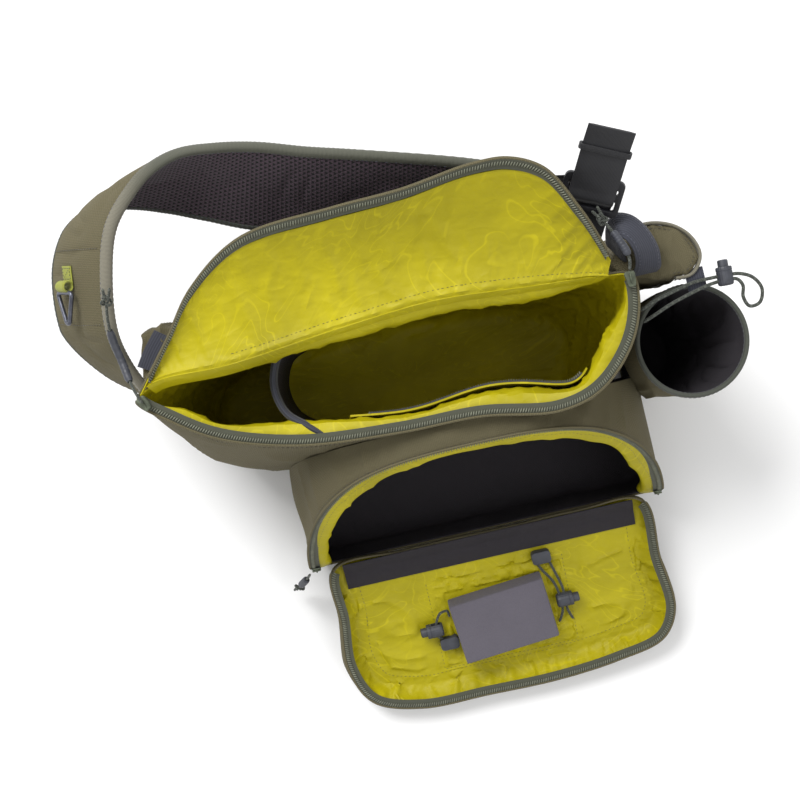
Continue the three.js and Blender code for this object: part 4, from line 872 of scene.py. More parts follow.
# Stations round the compartment: direction at the base, then its place on the mouth as shares of
# half the length, the depth and the height, and its share of the swell.
BODY = np.array([
    (180, -1.0, 0.27, 1.0, 0.5), (208, -0.89, 0.08, 0.98, 0.7), (224, -0.72, -0.12, 0.95, 0.8),
    (244, -0.42, -0.29, 0.925, 0.6), (268, -0.02, -0.36, 0.925, 0.5), (286, 0.31, -0.375, 0.93, 0.5),
    (304, 0.62, -0.46, 0.945, 0.5), (322, 0.79, -0.38, 0.98, 0.8), (340, 0.935, -0.12, 1.03, 0.9),
    (360, 0.995, 0.17, 1.07, 0.8), (382, 0.985, 0.36, 1.085, 0.6), (408, 0.89, 0.4, 1.085, 0.4),
    (430, 0.6, 0.43, 1.08, 0.3), (448, 0.21, 0.48, 1.07, 0.3), (466, -0.16, 0.44, 1.06, 0.3),
    (490, -0.61, 0.36, 1.045, 0.3), (516, -0.92, 0.36, 1.015, 0.4),
])


def power(t, exponent):
    return np.sign(t) * np.abs(t) ** exponent


def station(index):
    return np.asarray(index, float) / len(BODY)


turns = np.radians(BODY[:, 0])
BODY_BASE = np.stack([power(np.cos(turns), 2 / 3.2) * BASE_LENGTH / 2,
                      power(np.sin(turns), 2 / 3.2) * BASE_DEPTH / 2, 0 * turns], 1)
BODY_RIM = np.stack([MOUTH_SHIFT + BODY[:, 1] * MOUTH_LENGTH / 2, BODY[:, 2] * BASE_DEPTH,
                     BODY[:, 3] * RIM_HEIGHT], 1)
BODY_SWELL = np.stack([BODY[:, 4] * SWELL, 0 * turns, 0 * turns], 1)
body_wall = Vessel(lambda u: through(BODY_BASE, u, True), lambda u: through(BODY_RIM, u, True), BASE_CORNER,
                   lambda u: through(BODY_SWELL, u, True)[..., 0])
CUP_ROWS = np.concatenate([np.linspace(0, 0.2, 7), np.linspace(0.2, 0.4, 9)[1:], np.linspace(0.4, 1, 50)[1:]])


def body_filled(grow):
    """The compartment as one filled shape, grown by a clearance, to cut its neighbours with."""
    rows = np.concatenate([np.linspace(0, 0.2, 3), np.linspace(0.2, 0.4, 6)[1:], np.linspace(0.4, 1, 16)[1:], [2.0]])
    u, v = grid(np.linspace(0, 1, 140, endpoint=False), rows)
    return closed_ring("body_filled", body_wall.place(u, v, -grow))


LID = np.array([
    (-0.985, 0.24, 0.77, 16.45), (-0.83, 0.49, 0.8, 16.0), (-0.68, 0.72, 0.85, 15.6), (-0.445, 0.91, 0.917, 15.1),
    (-0.085, 0.945, 0.967, 14.4), (0.18, 0.955, 0.99, 13.8), (0.455, 1.0, 1.0, 13.0), (0.6, 0.985, 1.0, 12.4),
    (0.725, 0.89, 0.99, 11.9), (0.83, 0.65, 0.95, 11.4), (0.92, 0.38, 0.86, 10.9),
])
LID_EDGE = np.stack([MOUTH_SHIFT + LID[:, 0] * MOUTH_LENGTH / 2, LID[:, 1] * LID_REACH, LID[:, 2] * LID_RISE], 1)
LID_HINGE = np.stack([station(LID[:, 3]), 0 * LID[:, 0], 0 * LID[:, 0]], 1)


def on_lid(u, v):
    low = body_wall.place(through(LID_HINGE, u)[..., 0], np.ones(u.shape), SHELL / 2)
    low[..., 2] += SHELL + GAP
    place = mix(low, through(LID_EDGE, u), v[..., None])
    place[..., 2] -= LID_SAG * np.sin(math.pi * v) * np.sin(math.pi * u)
    return place


def uniform_curve(rows, count):
    """Points of a uniform smooth curve, as the pocket's edge is drawn."""
    p = np.asarray(rows, float)
    ext = np.vstack([p[0], p, p[-1]])
    t = np.linspace(0, len(p) - 1, count)
    i = np.minimum(t.astype(int), len(p) - 2)
    w = (t - i)[:, None]
    a, b, c, d = (ext[i + k] for k in range(4))
    v0, v1 = (c - a) / 2, (d - b) / 2
    return (2 * b - 2 * c + v0 + v1) * w**3 + (-3 * b + 3 * c - 2 * v0 - v1) * w**2 + v0 * w + b


EDGE = np.array([(1.0, 0.0), (0.955, 0.173), (0.8, 0.427), (0.6, 0.72), (0.48, 0.893), (0.405, 1.027)])
edge_line = uniform_curve(np.stack([-EDGE[:, 0] * POCKET_REACH, mix(HINGE_HEIGHT, POCKET_HEIGHT, EDGE[:, 1])], 1), 90)


def pocket_front(z):
    """How far forward the pocket's walls end at a height."""
    foot = -0.95 * POCKET_REACH
    low = np.interp(z, [POCKET_CORNER, HINGE_HEIGHT], [foot, -POCKET_REACH])
    curl = foot + POCKET_CORNER - POCKET_CORNER * np.sqrt(np.clip(1 - (1 - z / POCKET_CORNER) ** 2, 0, 1))
    above = np.interp(z, edge_line[:, 1], edge_line[:, 0])
    return np.where(z >= HINGE_HEIGHT, above, np.where(z < POCKET_CORNER, curl, low))


def pocket_outline(inset, arch=220, side=14):
    """The pocket's walls seen from the front, from its lower left corner over the arch to its lower right."""
    radius = POCKET_CORNER - inset
    left, right = POCKET_MIDDLE - POCKET_WIDTH / 2 + inset, POCKET_MIDDLE + POCKET_WIDTH / 2 - inset
    a = np.linspace(0, math.pi / 2, side)
    turn = math.pi * (1 - np.linspace(0, 1, arch))
    x = POCKET_MIDDLE + power(np.cos(turn), 2 / ARCH_POWER) * (POCKET_WIDTH / 2 - inset)
    z = HINGE_HEIGHT + power(np.sin(turn), 2 / ARCH_POWER) * (POCKET_HEIGHT - HINGE_HEIGHT - inset)
    low = np.stack([left + radius * (1 - np.sin(a)), inset + radius * (1 - np.cos(a))], 1)
    down = np.stack([right - radius * (1 - np.sin(a)), inset + radius * (1 - np.cos(a))], 1)[::-1]
    return np.vstack([low, np.stack([x, z], 1), down])


def arch_places(turn, inset):
    x = POCKET_MIDDLE + power(np.cos(turn), 2 / ARCH_POWER) * (POCKET_WIDTH / 2 - inset)
    z = HINGE_HEIGHT + power(np.sin(turn), 2 / ARCH_POWER) * (POCKET_HEIGHT - HINGE_HEIGHT - inset)
    return np.stack([x, pocket_front(z), z], -1)


def body_front(x, z):
    """The depth of the compartment's front wall behind a point seen from the front."""
    u, v = grid(np.linspace(station(0.2), station(9.2), 150), np.linspace(0.3, 1, 60))
    wall = body_wall.place(u, v).reshape(-1, 3)
    found = np.empty(x.size)
    for k, (px, pz) in enumerate(zip(x.ravel(), z.ravel())):
        gap = (wall[:, 0] - px) ** 2 + (wall[:, 2] - pz) ** 2
        near = np.argpartition(gap, 3)[:3]
        weight = 1 / (gap[near] + 0.5)
        found[k] = (wall[near, 1] * weight).sum() / weight.sum()
    return np.clip(found.reshape(x.shape), -76, -43)


PANEL = np.array([
    (-0.93, 0.02, 0.25), (-0.97, 0.33, 0.75), (-1.0, 0.64, 1), (-0.9, 0.88, 1), (-0.62, 0.985, 1),
    (-0.2, 0.995, 1), (0.23, 1.0, 1), (0.62, 0.965, 1), (0.92, 0.89, 1), (1.02, 0.72, 1), (0.98, 0.38, 0.75),
    (0.93, 0.02, 0.25), (0.5, 0.0, 0.15), (0.0, 0.0, 0.15), (-0.5, 0.0, 0.15),
])
panel_flat = np.stack([PANEL[:, 0] * PANEL_WIDTH / 2, -PANEL[:, 1] * PANEL_LENGTH, 0 * PANEL[:, 0]], 1)
panel_rim = panel_flat * (1 - 10 * PANEL[:, 2:] / PANEL_WIDTH)
panel_rim[:, 2] = mix(PANEL_CORNER, PANEL_DEPTH, PANEL[:, 2])
panel_wall = Vessel(lambda u: through(panel_flat, u, True), lambda u: through(panel_rim, u, True), PANEL_CORNER - 1)
panel_drop = math.asin((HINGE_HEIGHT - FLOOR_CLEAR) / PANEL_LENGTH)
PANEL_AT = np.array(Matrix.Translation((POCKET_MIDDLE, HINGE_SEAT - POCKET_REACH, HINGE_HEIGHT))
                    @ Matrix.Rotation(panel_drop, 4, "X"))
PANEL_TOP = SHELL + LINING + 3 * GAP

STRAP = np.array([
    (-0.96, 0.12, 0.75, 0.04, 0.0, 1), (-1.024, 0.285, 0.765, -0.36, 0.02, 1), (-1.033, 0.42, 0.835, -0.6, 0.18, 1),
    (-0.995, 0.615, 0.887, -0.62, 0.2, 1), (-0.925, 0.79, 0.932, -0.58, 0.15, 1), (-0.81, 0.905, 0.962, -0.52, 0.04, 1),
    (-0.725, 0.96, 0.985, -0.43, -0.13, 1), (-0.61, 0.995, 1.0, -0.37, -0.32, 1),
    (-0.465, 0.987, 1.007, -0.32, -0.47, 1), (-0.322, 0.963, 1.0, -0.23, -0.6, 1),
    (-0.137, 0.908, 0.985, -0.18, -0.61, 1), (0.052, 0.858, 0.97, -0.17, -0.62, 1),
    (0.47, 0.738, 0.932, -0.08, -0.55, 1), (0.66, 0.668, 0.895, -0.03, -0.4, 0.8), (0.78, 0.61, 0.83, 0.0, -0.21, 0.5),
])
STRAP_EDGE = STRAP[:, :3] * (MOUTH_LENGTH / 2, STRAP_BEHIND, STRAP_TOP)
STRAP_LEAN = STRAP[:, 3:]


def strap_frame(u):
    u = np.asarray(u, float)
    lean = through(STRAP_LEAN, u)
    drop = -np.sqrt(np.clip(1 - lean[..., 0] ** 2 - lean[..., 1] ** 2, 0, 1))
    down = unit(np.stack([lean[..., 0], lean[..., 1], drop], -1))
    along = heading(STRAP_EDGE, u)
    return down, along, unit(np.cross(along, down)), STRAP_WIDTH * lean[..., 2]


def on_strap(u, v, lift):
    """A place on the strap: u along it, v across it, and how far it stands on the outer side."""
    u, v, lift = (np.array(x) for x in np.broadcast_arrays(*map(lambda x: np.asarray(x, float), (u, v, lift))))
    down, _, out, wide = strap_frame(u)
    cup = STRAP_CUP * 4 * v * (1 - v) * np.sin(math.pi * np.clip(1.4 * u, 0, 1))
    return through(STRAP_EDGE, u) + down * (wide * v)[..., None] + out * (lift + cup)[..., None]


# Pieces ---------------------------------------------------------------------

def body_fold(points, v):
    """How far the compartment's soft wall stands out of its plain shape."""
    h = np.clip((v - CORNER_END) / (1 - CORNER_END), 0, 1)
    depth = bpy.context.scene.sling_bag.fold_depth / MM
    soft = 0.7 * swell_noise(points * (1, 1, 0.5), 85, 3) + 0.8 * (creases(points * (1, 1, 0.45), 60, 4) - 0.3)
    return depth * soft * np.sin(math.pi * h) ** 0.7


def hang(share, v):
    """How far the front lining and its pocket sag inwards under the mouth."""
    place = (np.asarray(share) % 1.0) * len(BODY)
    front = ease(place / 1.6) * ease((10.3 - place) / 2.0)
    back = ease((place - 10.6) / 1.2) * ease((15.6 - place) / 2.0)
    h = np.clip((v - CORNER_END) / (1 - CORNER_END), 0, 1)
    deep, short = np.clip((1 - h) / 0.62, 0, 1), np.clip((1 - h) / 0.2, 0, 1)
    sag = front * (15 + 4 * np.sin(place * 2.6)) * np.sin(math.pi * deep**0.42) ** 0.8
    return sag + back * 9 * np.sin(math.pi * short**0.6)


def make_compartment():
    """Outer cloth, lime lining, and the zipper half on the front of the mouth."""
    u, v = grid(np.linspace(0, 1, 340, endpoint=False), CUP_ROWS)
    plain = body_wall.place(u, v)
    fold = body_fold(plain, v)
    shell = solid(
        "compartment_shell", body_wall.place(u, v, -fold), body_wall.place(u, v, SHELL - fold), ring=True, merge=True
    )
    dress(shell, "olive_cloth", "main_shell")
    h = np.clip((v - CORNER_END) / (1 - CORNER_END), 0, 1)
    loose = 3.2 * creases(plain * (1, 1, 0.7), 48, 9) + 2.0 * creases(plain * (0.8, 0.8, 1.2), 24, 10)
    loose = loose * np.clip((1 - h) * 9, 0, 1) * np.clip(v * 4, 0, 1) + hang(u, v)
    face = body_wall.place(u, v, SHELL + GAP + LINING - fold + loose)
    lining = solid("compartment_lining", face, body_wall.place(u, v, SHELL + GAP - fold + loose), ring=True, merge=True)
    dress(lining, "lime_lining", "main_lining")
    s, w = grid(np.linspace(0.003, 0.985, 300), np.linspace(0, 1, 9))
    share = mix(station(0), station(10), s)

    def tape(lift):
        place = body_wall.place(share, np.ones(s.shape), mix(-1.2, ZIP_WIDTH - 1, w))
        place[..., 2] += lift + 1.2 * w
        return place

    dress(solid("mouth_zip_tape", tape(GAP + 0.6), tape(GAP - 0.5)), "zipper_tape", "mouth_zipper")
    up = np.tile((0, 0, 1.0), (300, 1))
    coil("mouth_zip_coil", tape(GAP + 0.6)[:, 3], up)
    piping("mouth_piping", tape(GAP + 0.2)[:, 0])
    out = body_wall.outward(share[:, 0], np.ones(300))
    hem = np.full(300, 0.955)
    stitches("mouth_stitches", "olive_thread", [(body_wall.place(share[:, 0], hem, -0.1), out)])
    inside = np.full(300, 0.93)
    back = np.linspace(station(10.2), station(16.6), 300)
    stitches("lining_stitches", "lime_thread", [
        (body_wall.place(share[:, 0], inside, 3.2), -out),
        (body_wall.place(back, inside, 3.2), -body_wall.outward(back, np.ones(300))),
    ])


def make_lid():
    """The folded-back lid: outer cloth, loose lining, edge zipper and seams."""
    u, v = grid(np.linspace(0, 1, 190), np.linspace(0, 1, 64))
    plain = on_lid(u, v)
    held = (v < 0.02) | (v > 0.9) | (u < 0.012) | (u > 0.99) | (np.abs(v - 0.085) < 0.008)
    middle = settle(plain, held, growth=0.02, frames=18, reach=7.0, bend=0.12)
    ease_off = np.clip(np.minimum(u, 1 - u) * 14, 0, 1) * np.sin(math.pi * v)
    middle = middle + normals_of(plain) * (1.6 * swell_noise(plain, 120, 21) * ease_off)[..., None]
    ridge = 1.3 * np.exp(-(((v - 0.05) / 0.02) ** 2))
    out = normals_of(plain)

    def layer(lift):
        return middle + out * (lift + (ridge if lift > SHELL else 0 * ridge))[..., None]

    dress(solid("lid_outer_cloth", layer(SHELL), layer(0.0)), "olive_cloth", "lid_shell")
    top = SHELL + GAP
    keep = slice(0, 60)
    dress(solid("lid_inner_cloth", layer(top + LINING)[:, keep], layer(top)[:, keep]), "lime_lining", "lid_lining")
    hinge = through(LID_HINGE, np.linspace(0, 1, 190)[10:-10])[..., 0]
    upper = layer(top + LINING + 0.2)[10:-10, 1]
    lower = body_wall.place(hinge, np.full(170, 0.975), SHELL + GAP + LINING + 4.5)
    t = np.linspace(0, 1, 12)[None, :, None]
    strip = mix(upper[:, None], lower[:, None], t)
    strip[..., 2] += 1.6 * np.sin(math.pi * t[..., 0]) + 0.8 * creases(strip, 22, 22) * np.sin(math.pi * t[..., 0])
    side = normals_of(strip)
    side = side * np.sign(side[85, 5, 2])
    dress(solid("lid_hinge_hem", strip + side * 0.9, strip), "lime_lining", "lid_lining")
    s, w = grid(np.linspace(0.03, 0.985, 300), np.linspace(0, 1, 9))
    edge = on_lid(s, np.ones(s.shape))
    out_edge = normals_of(on_lid(*grid(np.linspace(0.03, 0.985, 300), np.linspace(0.9, 1, 7))))[:, -1:]
    away = unit(edge - on_lid(s, np.full(s.shape, 0.92)))

    def tape(lift):
        return edge + away * mix(2.0 - ZIP_WIDTH, 2.0, w)[..., None] + out_edge * lift

    low = top + LINING + 0.3
    dress(solid("lid_zip_tape", tape(low + 0.9), tape(low - 0.3)), "zipper_tape", "lid_zipper")
    coil("lid_zip_coil", tape(low + 0.9)[:, 5], out_edge[:, 0])
    piping("lid_piping", tape(low - 0.8)[:, 8], 1.5)
    seam = layer(top + LINING)
    rows = [(seam[60:-4, 6], out[60:-4, 6])]
    stitches("lid_lining_stitches", "lime_thread", rows)
    outside = layer(0.0)
    stitches("lid_outer_stitches", "olive_thread", [(outside[2:-2, 58], -out[2:-2, 58])])


def make_back_pad():
    """The padded mesh back on the wearer's side, crowned and sewn into channels."""
    u, v = grid(np.linspace(0, 1, 170), np.linspace(0, 1, 84))
    low, top = CORNER_END + 0.1, CORNER_END + (1 - CORNER_END) * (165 / RIM_HEIGHT) + 0.1
    share = mix(station(10.9), station(16.2), u)
    side = np.minimum(np.minimum(u, 1 - u) * 6, np.minimum(v, 1 - v) * 3.2)
    edge = np.clip(side, 0, 1) ** 0.5
    channel = np.minimum(np.abs(u - 0.33), np.abs(u - 0.67)) * 300
    sewn = 1 - 0.55 * np.exp(-((channel / 7) ** 2)) * np.clip(side, 0, 1)
    lift = 0.6 + 11.0 * edge * sewn + 0.4 * swell_noise(body_wall.place(share, mix(low, top, v)), 40, 31) * edge
    face = body_wall.place(share, mix(low, top, v), -lift)
    pad = dress(solid("back_padding", face, body_wall.place(share, mix(low, top, v), -0.2)), "spacer_mesh", "back_pad")
    out = body_wall.outward(share[:, 0], np.full(170, 0.5))
    lines = []
    for at in (int(0.33 * 169), int(0.67 * 169)):
        lines.append((face[at, 6:-6], np.tile(out[at], (72, 1))))
    for row in (3, 80):
        lines.append((face[4:-4, row], out[4:-4]))
    stitches("back_pad_stitches", "slate_thread", lines, width=0.9)


def make_inside():
    """The standing sleeve with its bound edge and the zipped pocket on the front wall."""
    rows = np.array([(-0.365, 0.43), (-0.44, 0.36), (-0.485, 0.16), (-0.46, -0.05), (-0.37, -0.2)])
    line = np.stack([rows[:, 0] * MOUTH_LENGTH / 2, rows[:, 1] * BASE_DEPTH, 0 * rows[:, 0]], 1)

    def sleeve(u, lift, z):
        inner = np.clip(u, 0, 1)
        along = heading(line, inner)
        place = through(line, inner) + along * ((u - inner) * 300)[..., None]
        side = unit(np.stack([along[..., 1], -along[..., 0], 0 * u], -1))
        place = place + side * np.asarray(lift)[..., None]
        place[..., 2] = z
        return place

    def top(u, above):
        return RIM_HEIGHT * 0.9 + above - 12 * np.sin(math.pi * np.clip(u, 0, 1))

    u, v = grid(np.linspace(-0.06, 1.06, 90), np.linspace(0, 1, 50))
    bow = 1.2 * swell_noise(sleeve(u, 0 * u, v * 200), 60, 41) * np.sin(math.pi * v)
    z = mix(BASE_CORNER, top(u, 0), v)
    wall = solid("standing_sleeve", sleeve(u, 1.5 + bow, z), sleeve(u, -1.5 + bow, z))
    dress(carve(wall, body_filled(-3.4), "INTERSECT"), "dark_cloth", "inner_sleeve")
    u, a = grid(np.linspace(-0.06, 1.06, 90), np.linspace(0, 1, 14))
    half = math.pi * a
    reach = 3.3 * np.cos(half)
    height = top(u, -7.0) + 12.0 * np.sin(half) ** 0.5
    trim = solid(
        "sleeve_bound_edge", sleeve(u, reach, height), sleeve(u, reach * 0.5, np.minimum(height - 1.2, top(u, 0.2)))
    )
    dress(carve(trim, body_filled(-3.4), "INTERSECT"), "slate_webbing", "sleeve_binding")
    u, v = grid(np.linspace(0, 1, 150), np.linspace(0, 1, 50))
    clear = SHELL + LINING + 2 * GAP
    share = mix(station(3.55), station(3.55) + 236 / 1100, u)
    high = mix(0.96 - 0.6 * 130 / RIM_HEIGHT, 0.955, v)
    base = body_wall.place(share, high)
    slack = 2 * np.sin(math.pi * u) * v + 1.6 * creases(base, 30, 42) * np.sin(math.pi * u) * np.sin(math.pi * v)
    slack = slack + hang(share, high)
    face = body_wall.place(share, high, clear + 4.6 + slack)
    pouch = solid("inner_pocket_cloth", face, body_wall.place(share, high, clear + 3.0 + slack))
    dress(pouch, "ripstop", "inner_zip_pocket")
    inward = -body_wall.outward(share[:, 0], np.full(150, 0.9))
    tape_rows = slice(40, 50)
    inward_grid = np.repeat(inward[:, None], 10, 1)
    part = face[8:-8, tape_rows]
    tape = solid("inner_pocket_tape", part + inward_grid[8:-8] * 1.3, part + inward_grid[8:-8] * 0.2)
    dress(tape, "slate_webbing")
    above = unit(inward + (0, 0, 1.2))
    coil("inner_pocket_coil", face[8:-8, 45] + inward[8:-8] * 1.4, above[8:-8])
    stitches("inner_pocket_stitches", "slate_thread", [
        (face[6:-6, 38] + inward[6:-6] * 0.2, inward[6:-6])])


def make_front_pocket():
    """Gusset, low front wall, lime facing, dark lining and the arch's zipper half."""
    w = np.linspace(0, 1, 40)

    def gusset(inset, front, back, fold=None):
        outline = pocket_outline(inset)
        x, z = outline[:, 0], outline[:, 1]
        start, end = front(z), back
        y = start[:, None] + (end - start)[:, None] * w[None]
        place = np.stack([np.repeat(x[:, None], 40, 1), y, np.repeat(z[:, None], 40, 1)], -1)
        if fold is not None:
            along = np.gradient(outline, axis=0)
            out = unit(np.stack([along[:, 1] * 0 - along[:, 1], 0 * x, along[:, 0]], 1))
            place = place + out[:, None] * fold[..., None]
        return place

    outer = pocket_outline(0)
    back = body_front(outer[:, 0], outer[:, 1]) - 0.4
    bare = gusset(0, pocket_front, back)
    free = np.sin(math.pi * np.clip(w, 0, 1))[None] ** 0.8 * np.clip((outer[:, 1] - 4) / 20, 0, 1)[:, None]
    fold = free * (2.4 * swell_noise(bare * (1, 0.5, 1), 60, 51) + 2.6 * (creases(bare * (1, 0.4, 1), 42, 52) - 0.35))
    edge = lambda z: pocket_front(z) - np.where(z > HINGE_HEIGHT + 2, 1.9, 0.0)
    dress(
        solid("pocket_gusset", gusset(0, edge, back, fold), gusset(SHELL, edge, back, fold)), "olive_cloth",
        "pocket_shell"
    )
    left, right = POCKET_MIDDLE - POCKET_WIDTH / 2, POCKET_MIDDLE + POCKET_WIDTH / 2
    curl = np.linspace(0, math.pi / 2, 12)
    foot = -0.95 * POCKET_REACH
    profile = np.vstack([
        np.stack([np.linspace(-POCKET_REACH, foot, 14), np.linspace(HINGE_HEIGHT, POCKET_CORNER, 14)], 1)[:-1],
        np.stack([foot + POCKET_CORNER * (1 - np.cos(curl)), POCKET_CORNER * (1 - np.sin(curl))], 1),
        np.stack([np.linspace(foot + POCKET_CORNER, -60, 18), np.zeros(18)], 1)[1:],
    ])
    xs = np.linspace(left + 0.4, right - 0.4, 160)
    near = np.minimum(xs - left, right - xs)
    rise = np.where(
        near < POCKET_CORNER,
        POCKET_CORNER - np.sqrt(np.clip(POCKET_CORNER**2 - (POCKET_CORNER - near) ** 2, 0, None)), 0
    )
    low = np.empty((160, len(profile), 3))
    low[..., 0], low[..., 1] = xs[:, None], profile[None, :, 0]
    low[..., 2] = np.maximum(profile[None, :, 1], rise[:, None])
    low[:, -17:, 1] = mix(
        foot + POCKET_CORNER, body_front(xs, 0 * xs + 1.0)[:, None] - 0.4, np.linspace(0, 1, 18)[None, 1:]
    )
    out = normals_of(low)
    out = out * np.sign(-out[80, 2, 1])
    soft = 1.4 * swell_noise(low, 60, 53) * np.sin(math.pi * np.clip(low[..., 2] / HINGE_HEIGHT, 0, 1))
    front = low + out * soft[..., None]
    dress(solid("pocket_low_wall", front, front - out * SHELL), "olive_cloth", "pocket_shell")
    stitches("pocket_stitches", "olive_thread", [
        (front[6:-6, 2] + out[6:-6, 2] * 0.1, out[6:-6, 2]),
    ])
    inner = SHELL + GAP
    strip = FACING + 4

    lip = np.array([(0.6, 2.0), (0.4, 6), (0.8, 12), (2.2, 17), (7, 17.5), (14, 11), (strip, 3.2)])

    def ring(lift, slack):
        turn = mix(math.pi * 1.02, -math.pi * 0.02, np.linspace(0, 1, 300))
        t = np.linspace(0, 1, 34)
        way = through(lip, t)
        turn, depth = np.meshgrid(np.clip(turn, 0, math.pi), way[:, 0], indexing="ij")
        inset = np.broadcast_to(way[:, 1], turn.shape) + slack
        place = arch_places(turn, inset)
        place[..., 1] = pocket_front(place[..., 2]) + depth + lift
        return place

    probe = ring(0, 0)
    loose = np.sin(math.pi * np.linspace(0, 1, 34) ** 1.2)[None]
    slack = loose * (2.4 * (creases(probe * (1, 0.6, 1), 40, 54) - 0.3) + 1.8 * swell_noise(probe, 60, 55))
    face, under = ring(-LINING, slack), ring(0, slack)
    inward = normals_of(face)
    inward = inward * np.sign(-inward[150, 4, 1])
    face = under + inward * LINING
    dress(solid("pocket_facing_cloth", face, under), "lime_lining", "pocket_facing")
    stitches("pocket_facing_stitches", "lime_thread", [(face[4:-4, 8], inward[4:-4, 8])])
    inner_back = back - 0.2
    start = lambda z: pocket_front(z) + np.where(z > HINGE_HEIGHT + 2, strip - 2, inner)
    hollow = gusset(0, start, inner_back)
    crumple = free * 2.2 * creases(hollow * (1, 0.5, 1), 38, 56)
    slack = fold - crumple - 0.4
    side = solid(
        "pocket_side_lining", gusset(inner + LINING, start, inner_back, slack),
        gusset(inner, start, inner_back, slack)
    )
    dress(side, "dark_cloth", "pocket_lining")
    dress(
        solid("pocket_floor_lining", front - out * (inner + LINING), front - out * inner), "dark_cloth",
        "pocket_lining"
    )
    r = np.linspace(0.0, 1, 24)
    arch = pocket_outline(inner + 0.6, 110, 8)
    base = np.stack([np.linspace(arch[-1, 0], arch[0, 0], 50)[1:-1], np.full(48, arch[0, 1])], 1)
    rim = np.vstack([arch, base])
    mid = np.array((POCKET_MIDDLE, 80.0))
    sheet = mid + (rim - mid)[:, None] * r[None, :, None]
    y = body_front(sheet[..., 0], sheet[..., 1])
    wall = np.stack([sheet[..., 0], y - 3.8, sheet[..., 1]], -1)
    wall[..., 1] -= 2.5 * creases(wall, 50, 57) * np.sin(math.pi * r)[None]
    behind = wall + (0, 0.6, 0)
    dress(solid("pocket_back_lining", wall, behind, ring=True, merge=True), "dark_cloth", "pocket_lining")
    s, v = grid(np.linspace(0.02, 0.98, 320), np.linspace(0, 1, 9))
    turn = mix(math.pi, 0, s)

    def tape(lift):
        place = arch_places(turn, mix(-1.3, ZIP_WIDTH - 1, v))
        place[..., 1] = pocket_front(arch_places(turn, 0 * v)[..., 2]) - 1.6 - lift
        return place

    dress(solid("pocket_zip_tape", tape(1.1), tape(0)), "zipper_tape", "pocket_zipper")
    middle = tape(1.1)[:, 3]
    outs = unit(np.stack([0 * middle[:, 0], -np.ones(320), 0.7 * np.ones(320)], 1))
    coil("pocket_zip_coil", middle, outs)
    piping("pocket_piping", tape(0.2)[:, 0])
    edge_row = gusset(0, edge, back, fold)[16:-16, 3]
    outline = pocket_outline(0)[16:-16]
    along = np.gradient(outline, axis=0)
    outs = unit(np.stack([-along[:, 1], 0 * along[:, 0], along[:, 0]], 1))
    stitches("pocket_arch_stitches", "olive_thread", [(edge_row, outs)])


def panel_ring(share, inset):
    share = np.asarray(share, float)
    return panel_wall.place(share % 1.0, np.ones(share.shape), inset)


